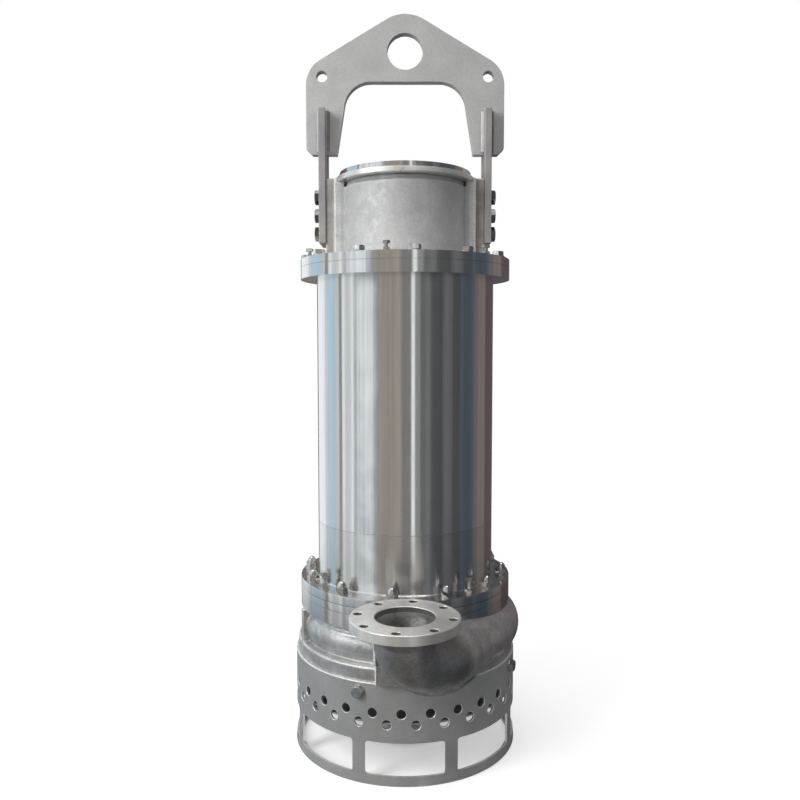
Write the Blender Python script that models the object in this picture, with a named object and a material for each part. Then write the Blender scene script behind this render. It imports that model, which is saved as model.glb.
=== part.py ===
# Submersible slurry pump: vertical motor on a volute casing with a strainer base.
# Every length below is in millimetres and is turned into metres when a mesh is made.
# +Z is up, the discharge flange is on the -Y side and the lifting plate lies across X.

import math

import bmesh
import bpy
from mathutils import Matrix, Vector

MM = 0.001
SEATED_GAP = 0.3
RUNNING_GAP = 0.06

# Heights above the floor
BASE_RING_TOP = 12.0
WINDOW_LOW = 27.0
WINDOW_HIGH = 120.0
LOWER_HOLE_ROW = 170.0
UPPER_HOLE_ROW = 200.0
SKIRT_TOP = 281.0
STRAINER_BOLT_Z = 255.0
SCROLL_Z = 362.0
VOLUTE_STEP_Z = 321.0
VOLUTE_NECK_LOW = 396.0
VOLUTE_FLANGE_LOW = 415.0
VOLUTE_TOP = 454.0
OIL_FLANGE_TOP = 477.0
CASING_BOTTOM_FLANGE_TOP = 503.0
CASING_TOP_FLANGE_LOW = 1382.0
CASING_TOP = 1417.0
HOUSING_FLANGE_TOP = 1440.0
HOUSING_TOP = 1662.0
COVER_TOP = 1694.0
DISCHARGE_FACE_Z = 518.0

# Motor tube and its flanges, which the other round pieces follow
CASING_RADIUS = 262.5
CASING_WALL = 12.0
CASING_BORE = CASING_RADIUS - CASING_WALL
FLANGE_WELD = 5.0
FLANGE_RIM = 52.5
FLANGE_RADIUS = CASING_RADIUS + FLANGE_RIM
TOP_FLANGE_RIM = 47.0
TOP_FLANGE_RADIUS = CASING_RADIUS + TOP_FLANGE_RIM
STUD_COUNT = 12
STUD_EDGE = 23.0
STUD_CIRCLE = FLANGE_RADIUS - STUD_EDGE
STUD_START = -7.0
STUD_RADIUS = 10.0
JACK_ANGLES = (-52.0, 38.0)
JACK_RADIUS = 8.0
FLANGE_BOLT_COUNT = 12
FLANGE_BOLT_EDGE = 18.5
FLANGE_BOLT_CIRCLE = TOP_FLANGE_RADIUS - FLANGE_BOLT_EDGE
FLANGE_BOLT_START = 5.0

# Strainer base
SKIRT_OVERHANG = 16.0
SKIRT_RADIUS = FLANGE_RADIUS + SKIRT_OVERHANG
SKIRT_WALL = 7.0
BASE_RING_LIP = 2.0
BASE_RING_RADIUS = SKIRT_RADIUS + BASE_RING_LIP
BASE_RING_WIDTH = 20.0
BASE_RING_INNER = BASE_RING_RADIUS - BASE_RING_WIDTH
WINDOW_COUNT = 8
WINDOW_HALF_ANGLE = 19.6
WINDOW_CORNER = 6.0
STRAINER_HOLE_COUNT = 26
STRAINER_HOLE_RADIUS = 13.5
STRAINER_ROW_START = -1.8
NOTCH_X = 92.0
NOTCH_Z = 422.0
NOTCH_RADIUS = 176.0
STRAINER_BOLT_COUNT = 4
STRAINER_BOLT_START = -22.5

# Volute casing
VOLUTE_BAND_RADIUS = SKIRT_RADIUS - SKIRT_WALL - SEATED_GAP
VOLUTE_BAND_LOW = 226.0
VOLUTE_WAIST = 13.0
VOLUTE_BODY_RADIUS = FLANGE_RADIUS - VOLUTE_WAIST
VOLUTE_NECK_RADIUS = VOLUTE_BODY_RADIUS - 8.0
CHAMBER_RIM = 63.0
CHAMBER_RADIUS = FLANGE_RADIUS - CHAMBER_RIM
CHAMBER_LOW = 318.0
COVER_LEDGE = 10.0
COVER_BORE_RADIUS = CHAMBER_RADIUS + COVER_LEDGE
SCROLL_START_ANGLE = -15.0
SCROLL_SWEEP = 285.0
SCROLL_STEPS = 18
SCROLL_CENTRE_START = CHAMBER_RADIUS + 5.0
SCROLL_CENTRE_GROWTH = 15.0
SCROLL_TUBE_START = 48.0
SCROLL_TUBE_GROWTH = 29.0
CASTING_WALL = 13.0
DISCHARGE_FLANGE_RADIUS = 139.7
DISCHARGE_GAP = 15.3
DISCHARGE_REACH = FLANGE_RADIUS + DISCHARGE_FLANGE_RADIUS + DISCHARGE_GAP
DISCHARGE_FLANGE_THICKNESS = 25.4
DISCHARGE_BORE_RADIUS = 76.2
DISCHARGE_HOLE_EDGE = 19.05
DISCHARGE_HOLE_CIRCLE = DISCHARGE_FLANGE_RADIUS - DISCHARGE_HOLE_EDGE
DISCHARGE_HOLE_RADIUS = 11.1
DISCHARGE_HOLE_COUNT = 8
DISCHARGE_HOLE_START = -10.0
ELBOW_PIVOT_Z = 456.0
ELBOW_BEND = 73.0
ELBOW_DEPTH = 72.0
ELBOW_WIDTH = 88.0
ELBOW_NECK_RADIUS = 88.0
ELBOW_STEPS = 7
GUSSET_LEFT = -78.0
GUSSET_RIGHT = 10.0
GUSSET_FRONT = -(FLANGE_RADIUS + 33.0)
GUSSET_LOW = 284.0
GUSSET_HIGH = 452.0
SIDE_RIB_ANGLE = -70.0
SIDE_RIB_WIDTH = 20.0

# Terminal housing, cover and cable gland
HOUSING_STEP = 123.5
HOUSING_RADIUS = TOP_FLANGE_RADIUS - HOUSING_STEP
HOUSING_WALL = 14.0
COVER_OVERHANG = 21.5
COVER_RADIUS = HOUSING_RADIUS + COVER_OVERHANG
PAD_HEIGHT = 19.0
PAD_REACH = HOUSING_RADIUS + PAD_HEIGHT
PAD_HALF_WIDTH = 70.0
BOSS_HALF_WIDTH = 54.0
PAD_TOP = 1674.0
GLAND_Z = 1552.0
GLAND_RADIUS = 44.0
GLAND_BOSS_HEIGHT = 30.0
GLAND_FACE = HOUSING_RADIUS + GLAND_BOSS_HEIGHT
GLAND_LENGTH = 76.0
GLAND_REACH = GLAND_FACE + GLAND_LENGTH
GLAND_CABLE_RADIUS = 17.0

# Lifting frame
BAR_OFFSET = 55.0
BAR_CENTRE_X = HOUSING_RADIUS + BAR_OFFSET
BAR_THICKNESS = 20.0
BAR_HALF_WIDTH = 60.0
BAR_LOW = 1487.0
BAR_HIGH = 1875.0
BAR_BOLT_FIRST = 1520.0
BAR_BOLT_PITCH = 54.0
BAR_BOLT_COUNT = 3
YOKE_THICKNESS = 30.0
YOKE_MARGIN = 50.0
YOKE_HALF_WIDTH = BAR_CENTRE_X + YOKE_MARGIN
YOKE_LOW = 1750.0
YOKE_TOP = 2154.0
YOKE_SHOULDER_Z = 1999.0
YOKE_SHOULDER_RADIUS = 86.0
YOKE_APEX_RADIUS = 107.0
YOKE_LEG_CHAMFER = 18.0
YOKE_LEG_INNER_X = BAR_CENTRE_X - 41.0
YOKE_ARCH_Z = 1960.0
YOKE_ARCH_CORNER_X = YOKE_LEG_INNER_X - 33.0
YOKE_ARCH_RADIUS = 78.0
EYE_Z = 2047.0
EYE_RADIUS = 52.0
SHACKLE_X = BAR_CENTRE_X + 3.0
SHACKLE_Z = 1975.0
SHACKLE_RADIUS = 16.0
WELD_LEG = 10.0

# Rotating parts and what they turn in
SHAFT_RADIUS = 32.0
SHAFT_END_RADIUS = 27.0
SHAFT_LOW = 108.0
SHAFT_HIGH = 1408.0
STACK_LOW = 800.0
STACK_HIGH = 1200.0
WINDING_REACH = 62.0
ROTOR_RADIUS = 119.0
SEAL_LOW = 460.0
SEAL_HIGH = 519.0
AIR_GAP = 1.5
UPPER_BEARING_LOW = 1352.0
UPPER_BEARING_HIGH = 1396.0
LOWER_BEARING_LOW = 566.0
LOWER_BEARING_HIGH = 628.0
BEARING_OUTER = 70.0
SEAL_SEAT_OUTER = 60.0
SLEEVE_RADIUS = 40.0
REAR_PLATE_LOW = 424.0
IMPELLER_TIP_GAP = 38.0
IMPELLER_RADIUS = CHAMBER_RADIUS - IMPELLER_TIP_GAP
IMPELLER_DISC_LOW = 402.0
IMPELLER_DISC_HIGH = 419.0
IMPELLER_VANE_LOW = 325.0
IMPELLER_VANES = 4
SUCTION_COVER_LOW = 282.0
SUCTION_EYE_RADIUS = 98.0
AGITATOR_LOW = 132.0
AGITATOR_RADIUS = 118.0
AGITATOR_BLADES = 3

# A round piece has as many sides as the bore it sits in, or half as many. A bore that
# something turns in is opened until its flats clear the corners of the turning piece.
ROUND_STEPS = 40
INNER_STEPS = 20
TUBE_STEPS = 14
HOLE_STEPS = 6


def clear_scene():
    """Remove everything that a new file starts with."""
    for item in list(bpy.data.objects):
        bpy.data.objects.remove(item, do_unlink=True)


def make_material(name, colour, roughness, metallic):
    """Return a Principled material with plain values."""
    material = bpy.data.materials.new(name)
    material.use_nodes = True
    shader = material.node_tree.nodes["Principled BSDF"]
    shader.inputs["Base Color"].default_value = (*colour, 1.0)
    shader.inputs["Roughness"].default_value = roughness
    shader.inputs["Metallic"].default_value = metallic
    return material


FINISHES = {
    "turned_steel": ((0.66, 0.67, 0.68), 0.22, 1.0),
    "cast_steel": ((0.42, 0.42, 0.40), 0.55, 0.8),
    "housing_cast": ((0.52, 0.54, 0.55), 0.6, 0.7),
    "plate_steel": ((0.50, 0.50, 0.49), 0.5, 0.8),
    "fastener": ((0.62, 0.61, 0.58), 0.25, 1.0),
    "sheet_steel": ((0.46, 0.46, 0.46), 0.45, 0.8),
    "rubber": ((0.03, 0.03, 0.03), 0.75, 0.0),
    "copper": ((0.72, 0.38, 0.22), 0.35, 1.0),
    "laminations": ((0.30, 0.31, 0.33), 0.5, 0.9),
    "hard_iron": ((0.34, 0.34, 0.36), 0.5, 0.9),
    "seal_face": ((0.12, 0.12, 0.13), 0.3, 0.2),
}


def finish_object(bm, name, finish, parent, smooth_angle=35.0):
    """Turn a bmesh in millimetres into a parented object with its own material."""
    bmesh.ops.scale(bm, vec=(MM, MM, MM), verts=bm.verts)
    bmesh.ops.recalc_face_normals(bm, faces=bm.faces)
    for face in bm.faces:
        face.smooth = True
    for edge in bm.edges:
        if len(edge.link_faces) == 2:
            edge.smooth = edge.calc_face_angle(0.0) < math.radians(smooth_angle)
    mesh = bpy.data.meshes.new(name)
    bm.to_mesh(mesh)
    bm.free()
    item = bpy.data.objects.new(name, mesh)
    bpy.context.collection.objects.link(item)
    colour, roughness, metallic = FINISHES[finish]
    mesh.materials.append(make_material(name + "_finish", colour, roughness, metallic))
    item.parent = parent
    return item


def revolved(profile, steps=ROUND_STEPS):
    """Turn a closed list of (radius, height) points about Z."""
    bm = bmesh.new()
    rings = []
    for radius, height in profile:
        if radius <= 1e-6:
            rings.append([bm.verts.new((0.0, 0.0, height))])
            continue
        ring = []
        for step in range(steps):
            angle = 2.0 * math.pi * step / steps
            ring.append(bm.verts.new((radius * math.cos(angle), radius * math.sin(angle), height)))
        rings.append(ring)
    for index, ring in enumerate(rings):
        following = rings[(index + 1) % len(rings)]
        for step in range(steps):
            other = (step + 1) % steps
            corners = [
                ring[step % len(ring)],
                ring[other % len(ring)],
                following[other % len(following)],
                following[step % len(following)],
            ]
            corners = list(dict.fromkeys(corners))
            if len(corners) > 2:
                bm.faces.new(corners)
    bmesh.ops.recalc_face_normals(bm, faces=bm.faces)
    return bm


def skinned(loops):
    """Join equal loops of points by quads and close both ends."""
    bm = bmesh.new()
    rings = [[bm.verts.new(point) for point in loop] for loop in loops]
    count = len(rings[0])
    for ring, following in zip(rings, rings[1:]):
        for step in range(count):
            other = (step + 1) % count
            bm.faces.new((ring[step], ring[other], following[other], following[step]))
    bm.faces.new(list(reversed(rings[0])))
    bm.faces.new(rings[-1])
    bmesh.ops.recalc_face_normals(bm, faces=bm.faces)
    return bm


def prism(outline, low, high, axis):
    """Extrude a flat outline along X, Y or Z between two levels."""
    if axis == "X":
        loops = [[(level, u, v) for u, v in outline] for level in (low, high)]
    elif axis == "Y":
        loops = [[(u, level, v) for u, v in outline] for level in (low, high)]
    else:
        loops = [[(u, v, level) for u, v in outline] for level in (low, high)]
    return skinned(loops)


def box(x_span, y_span, z_span):
    """Return a rectangular block from its three spans."""
    outline = [
        (x_span[0], y_span[0]),
        (x_span[1], y_span[0]),
        (x_span[1], y_span[1]),
        (x_span[0], y_span[1]),
    ]
    return prism(outline, z_span[0], z_span[1], "Z")


def running_bore(radius, steps):
    """Return the radius of a bore whose flats clear a round piece turning in it."""
    return (radius + RUNNING_GAP) / math.cos(math.pi / steps)


def moved(bm, matrix):
    """Apply a matrix to a bmesh and return it."""
    bmesh.ops.transform(bm, matrix=matrix, verts=bm.verts)
    return bm


def rod(radius, low, high, steps=16):
    """Return a solid round bar along Z."""
    return revolved([(0.0, low), (radius, low), (radius, high), (0.0, high)], steps)


def hole(radius, low, high, steps=HOLE_STEPS):
    """Cutter along Z whose flats stand clear of a shank of this radius."""
    return rod(radius / math.cos(math.pi / steps), low, high, steps)


def clock_point(radius, degrees, height=0.0):
    """Point at an angle counted from the discharge side (-Y) towards +X."""
    angle = math.radians(degrees)
    return Vector((radius * math.sin(angle), -radius * math.cos(angle), height))


def radial_matrix(degrees, radius, height):
    """Matrix that turns +Z to point outwards from the axis at a clock angle."""
    turn = Matrix.Rotation(math.radians(degrees), 4, "Z")
    tip = Matrix.Rotation(math.radians(90.0), 4, "X")
    return Matrix.Translation(clock_point(radius, degrees, height)) @ turn @ tip


def temporary_object(bm):
    """Link a bmesh as a helper object for one boolean."""
    mesh = bpy.data.meshes.new("helper")
    bmesh.ops.recalc_face_normals(bm, faces=bm.faces)
    bm.to_mesh(mesh)
    bm.free()
    item = bpy.data.objects.new("helper", mesh)
    bpy.context.collection.objects.link(item)
    item.hide_render = True
    item.display_type = "WIRE"
    return item


def combined(base, tools, operation):
    """Add or cut a list of bmeshes and return the result as a bmesh."""
    current = temporary_object(base)
    for tool in tools:
        helper = temporary_object(tool)
        modifier = current.modifiers.new("combine", "BOOLEAN")
        modifier.operation = operation
        modifier.solver = "EXACT"
        modifier.object = helper
        depsgraph = bpy.context.evaluated_depsgraph_get()
        result = bpy.data.meshes.new_from_object(current.evaluated_get(depsgraph))
        current.modifiers.clear()
        current.data = result
        bpy.data.objects.remove(helper, do_unlink=True)
    bm = bmesh.new()
    bm.from_mesh(current.data)
    bpy.data.objects.remove(current, do_unlink=True)
    bmesh.ops.remove_doubles(bm, verts=bm.verts, dist=0.004)
    bmesh.ops.dissolve_degenerate(bm, edges=bm.edges, dist=0.004)
    return bm


def joined(tools):
    """Collect bmeshes that do not touch each other into one, for use as one tool."""
    bm = bmesh.new()
    for tool in tools:
        mesh = bpy.data.meshes.new("joined")
        tool.to_mesh(mesh)
        tool.free()
        bm.from_mesh(mesh)
        bpy.data.meshes.remove(mesh)
    return bm


def hexagon(flats, height, count=12):
    """Points of a hexagon: its corners, and with twelve points also its flats' middles."""
    points = []
    for step in range(count):
        corner = count == 6 or step % 2 == 0
        radius = flats / 2.0 / (math.cos(math.pi / 6.0) if corner else 1.0)
        angle = 2.0 * math.pi * step / count
        points.append((radius * math.cos(angle), radius * math.sin(angle), height))
    return points


def circle(radius, height, count=12):
    """Points of a circle, in step with hexagon()."""
    points = []
    for step in range(count):
        angle = 2.0 * math.pi * step / count
        points.append((radius * math.cos(angle), radius * math.sin(angle), height))
    return points


def hex_bolt(shank_radius, shank_length, flats, head):
    """Bolt along Z whose head rests on Z = 0."""
    return skinned(
        [
            circle(shank_radius, -shank_length, 6),
            circle(shank_radius, SEATED_GAP, 6),
            hexagon(flats, SEATED_GAP, 6),
            hexagon(flats, head, 6),
        ]
    )


def dome_nut(shank_radius, shank_length, flats, nut, dome):
    """Stud along Z with a closed domed nut that rests on Z = 0."""
    dome_radius = flats * 0.44
    return skinned(
        [
            circle(shank_radius, -shank_length),
            circle(shank_radius, SEATED_GAP),
            hexagon(flats, SEATED_GAP),
            hexagon(flats, nut),
            circle(dome_radius, nut),
            circle(dome_radius * 0.8, nut + dome * 0.62),
            circle(dome_radius * 0.25, nut + dome),
        ]
    )


def jack_bolt():
    """Raised jacking bolt with a lock nut at the flange."""
    return skinned(
        [
            circle(JACK_RADIUS, -18.0, 6),
            circle(JACK_RADIUS, SEATED_GAP, 6),
            hexagon(24.0, SEATED_GAP, 6),
            hexagon(24.0, 13.0, 6),
            circle(JACK_RADIUS, 13.0, 6),
            circle(JACK_RADIUS, 34.0, 6),
            hexagon(24.0, 34.0, 6),
            hexagon(24.0, 46.0, 6),
        ]
    )


def arc_points(centre, radius, first, last, steps):
    """Points of an arc in a plane, both ends included."""
    points = []
    for step in range(steps + 1):
        angle = math.radians(first + (last - first) * step / steps)
        points.append((centre[0] + radius * math.cos(angle), centre[1] + radius * math.sin(angle)))
    return points


def yoke_half_outline():
    """Right half of the lifting plate, from the middle of the arch up to the apex."""
    inner_lean = math.atan2(
        YOKE_LEG_INNER_X - YOKE_ARCH_CORNER_X, YOKE_ARCH_Z - YOKE_LOW
    )
    arch_turn = math.pi / 2.0 - inner_lean
    arch_start = YOKE_ARCH_CORNER_X - YOKE_ARCH_RADIUS * math.tan(arch_turn / 2.0)
    arch_centre = (arch_start, YOKE_ARCH_Z - YOKE_ARCH_RADIUS)
    points = arc_points(arch_centre, YOKE_ARCH_RADIUS, 90.0, math.degrees(inner_lean), 8)
    points.append((YOKE_LEG_INNER_X, YOKE_LOW))
    points.append((YOKE_HALF_WIDTH - YOKE_LEG_CHAMFER, YOKE_LOW))
    points.append((YOKE_HALF_WIDTH, YOKE_LOW + YOKE_LEG_CHAMFER))
    slope = math.atan2(
        YOKE_TOP + YOKE_APEX_RADIUS * 0.149 - YOKE_SHOULDER_Z, YOKE_HALF_WIDTH
    )
    shoulder_turn = math.pi / 2.0 - slope
    shoulder_low = YOKE_SHOULDER_Z - YOKE_SHOULDER_RADIUS * math.tan(shoulder_turn / 2.0)
    shoulder_centre = (YOKE_HALF_WIDTH - YOKE_SHOULDER_RADIUS, shoulder_low)
    points += arc_points(
        shoulder_centre, YOKE_SHOULDER_RADIUS, 0.0, 90.0 - math.degrees(slope), 8
    )
    apex_centre = (0.0, YOKE_TOP - YOKE_APEX_RADIUS)
    points += arc_points(apex_centre, YOKE_APEX_RADIUS, 90.0 - math.degrees(slope), 90.0, 6)
    return points


def build_yoke(root):
    """Lifting plate with its eye, shackle holes, bar slots and weld fillets."""
    right = yoke_half_outline()
    left = [(-x, z) for x, z in reversed(right[:-1])]
    plate = prism(right + left, -YOKE_THICKNESS / 2.0, YOKE_THICKNESS / 2.0, "Y")
    tools = []
    tip = Matrix.Rotation(math.radians(90.0), 4, "X")
    for x, z, radius, steps in (
        (0.0, EYE_Z, EYE_RADIUS, 32),
        (SHACKLE_X, SHACKLE_Z, SHACKLE_RADIUS, 16),
        (-SHACKLE_X, SHACKLE_Z, SHACKLE_RADIUS, 16),
    ):
        tools.append(moved(rod(radius, -40.0, 40.0, steps), Matrix.Translation((x, 0.0, z)) @ tip))
    half_slot = BAR_THICKNESS / 2.0 + SEATED_GAP
    for side in (-1.0, 1.0):
        centre = side * BAR_CENTRE_X
        tools.append(
            box(
                (centre - half_slot, centre + half_slot),
                (-40.0, 40.0),
                (YOKE_LOW - 20.0, BAR_HIGH + SEATED_GAP),
            )
        )
    plate = combined(plate, [joined(tools)], "DIFFERENCE")
    welds = []
    face = YOKE_THICKNESS / 2.0
    for side in (-1.0, 1.0):
        for edge in (-1.0, 1.0):
            for front in (-1.0, 1.0):
                x_root = side * BAR_CENTRE_X + edge * half_slot
                outline = [
                    (x_root, front * (face - 1.0)),
                    (x_root + edge * WELD_LEG, front * (face - 1.0)),
                    (x_root + edge * WELD_LEG, front * face),
                    (x_root + edge * WELD_LEG * 0.4, front * (face + WELD_LEG * 0.62)),
                    (x_root, front * (face + WELD_LEG)),
                ]
                welds.append(prism(outline, YOKE_LOW + 4.0, BAR_HIGH - 4.0, "Z"))
    plate = combined(plate, [joined(welds)], "UNION")
    return finish_object(plate, "lifting_yoke", "plate_steel", root)


def build_bars(root):
    """Two upright flat bars and the bolts that hold them to the housing."""
    for side, label in ((-1.0, "left"), (1.0, "right")):
        inner = side * (BAR_CENTRE_X - BAR_THICKNESS / 2.0)
        outer = side * (BAR_CENTRE_X + BAR_THICKNESS / 2.0)
        bar = box(
            (min(inner, outer), max(inner, outer)),
            (-BAR_HALF_WIDTH, BAR_HALF_WIDTH),
            (BAR_LOW, BAR_HIGH),
        )
        outward = Matrix.Rotation(math.radians(90.0 * side), 4, "Y")
        holes = []
        for index in range(BAR_BOLT_COUNT):
            height = BAR_BOLT_FIRST + BAR_BOLT_PITCH * index
            place = Matrix.Translation((outer, 0.0, height)) @ outward
            holes.append(moved(hole(13.0, -30.0, 10.0), place))
            bolt = hex_bolt(12.0, 52.0, 38.0, 17.0)
            name = "bar_bolt_" + label + "_" + str(index + 1)
            finish_object(moved(bolt, place), name, "fastener", root)
        bar = combined(bar, [joined(holes)], "DIFFERENCE")
        finish_object(bar, "lifting_bar_" + label, "plate_steel", root)


def build_terminal_housing(root):
    """Cast housing with side bosses, a machined flange and the upper bearing seat."""
    inner = HOUSING_RADIUS - HOUSING_WALL
    spigot = CASING_BORE - SEATED_GAP
    profile = [
        (BEARING_OUTER + SEATED_GAP, UPPER_BEARING_LOW - 12.0),
        (BEARING_OUTER + 22.0, UPPER_BEARING_LOW - 12.0),
        (BEARING_OUTER + 26.0, UPPER_BEARING_HIGH),
        (spigot, UPPER_BEARING_HIGH + 3.0),
        (spigot, CASING_TOP + SEATED_GAP),
        (TOP_FLANGE_RADIUS, CASING_TOP + SEATED_GAP),
        (TOP_FLANGE_RADIUS, HOUSING_FLANGE_TOP - 2.5),
        (TOP_FLANGE_RADIUS - 2.5, HOUSING_FLANGE_TOP),
        (HOUSING_RADIUS + 14.0, HOUSING_FLANGE_TOP),
        (HOUSING_RADIUS + 4.0, HOUSING_FLANGE_TOP + 4.0),
        (HOUSING_RADIUS, HOUSING_FLANGE_TOP + 14.0),
        (HOUSING_RADIUS, HOUSING_TOP - 7.0),
        (HOUSING_RADIUS - 4.0, HOUSING_TOP),
        (inner, HOUSING_TOP),
        (inner, CASING_TOP + 7.0),
        (60.0, CASING_TOP + 7.0),
        (60.0, UPPER_BEARING_HIGH + SEATED_GAP),
        (BEARING_OUTER + SEATED_GAP, UPPER_BEARING_HIGH + SEATED_GAP),
    ]
    housing = revolved(profile)
    bosses = []
    bar_face = BAR_CENTRE_X - BAR_THICKNESS / 2.0 - SEATED_GAP
    pad_low = HOUSING_FLANGE_TOP - 6.0
    for side in (-1.0, 1.0):
        for reach, half in ((PAD_REACH, PAD_HALF_WIDTH), (bar_face, BOSS_HALF_WIDTH)):
            near = side * (HOUSING_RADIUS - 10.0)
            far = side * reach
            bosses.append(
                box((min(near, far), max(near, far)), (-half, half), (pad_low, PAD_TOP))
            )
    tip = Matrix.Translation((0.0, 0.0, GLAND_Z)) @ Matrix.Rotation(math.radians(-90.0), 4, "X")
    bosses.append(moved(rod(58.0, HOUSING_RADIUS - 10.0, GLAND_FACE, 32), tip))
    housing = combined(housing, bosses, "UNION")
    floor = HOUSING_FLANGE_TOP + 10.0
    above = COVER_TOP + 6.0
    cuts = [revolved([(0.0, floor), (inner, floor), (inner, above), (0.0, above)])]
    cuts.append(
        revolved(
            [
                (0.0, HOUSING_TOP),
                (HOUSING_RADIUS + 1.0, HOUSING_TOP),
                (HOUSING_RADIUS + 1.0, HOUSING_TOP - 7.0),
                (COVER_RADIUS + 2.0, HOUSING_TOP - 7.0),
                (COVER_RADIUS + 2.0, above),
                (0.0, above),
            ]
        )
    )
    holes = []
    for side in (-1.0, 1.0):
        outward = Matrix.Rotation(math.radians(90.0 * side), 4, "Y")
        for index in range(BAR_BOLT_COUNT):
            height = BAR_BOLT_FIRST + BAR_BOLT_PITCH * index
            place = Matrix.Translation((side * bar_face, 0.0, height)) @ outward
            holes.append(moved(hole(12.0 + SEATED_GAP, -36.0, 10.0), place))
    for index in range(FLANGE_BOLT_COUNT):
        spot = clock_point(
            FLANGE_BOLT_CIRCLE, FLANGE_BOLT_START + 360.0 * index / FLANGE_BOLT_COUNT
        )
        holes.append(
            moved(hole(STUD_RADIUS + 1.0, CASING_TOP - 7.0, floor), Matrix.Translation(spot))
        )
    gland_bore = rod(GLAND_CABLE_RADIUS + 8.0, HOUSING_RADIUS - 36.0, GLAND_FACE + 14.0, 24)
    holes.append(moved(gland_bore, tip))
    cuts.append(joined(holes))
    housing = combined(housing, cuts, "DIFFERENCE")
    finish_object(housing, "terminal_housing", "housing_cast", root)

    cover = revolved(
        [
            (0.0, HOUSING_TOP - 9.0),
            (inner - SEATED_GAP, HOUSING_TOP - 9.0),
            (inner - SEATED_GAP, HOUSING_TOP + SEATED_GAP),
            (COVER_RADIUS - 2.0, HOUSING_TOP + SEATED_GAP),
            (COVER_RADIUS, HOUSING_TOP + 2.5),
            (COVER_RADIUS, COVER_TOP - 12.0),
            (COVER_RADIUS - 7.0, COVER_TOP - 2.0),
            (COVER_RADIUS - 10.0, COVER_TOP),
            (0.0, COVER_TOP),
        ]
    )
    finish_object(cover, "top_cover", "turned_steel", root)

    face = GLAND_FACE + SEATED_GAP
    gland = revolved(
        [
            (GLAND_CABLE_RADIUS, HOUSING_RADIUS + 4.0),
            (GLAND_CABLE_RADIUS + 7.5, HOUSING_RADIUS + 4.0),
            (GLAND_CABLE_RADIUS + 7.5, face),
            (54.0, face),
            (54.0, face + 14.0),
            (GLAND_RADIUS - 6.0, face + 14.0),
            (GLAND_RADIUS - 6.0, GLAND_REACH - 34.0),
            (GLAND_RADIUS, GLAND_REACH - 34.0),
            (GLAND_RADIUS, GLAND_REACH - 8.0),
            (GLAND_RADIUS - 8.0, GLAND_REACH),
            (GLAND_CABLE_RADIUS, GLAND_REACH),
        ],
        INNER_STEPS,
    )
    finish_object(moved(gland, tip), "cable_gland", "fastener", root)


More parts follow.
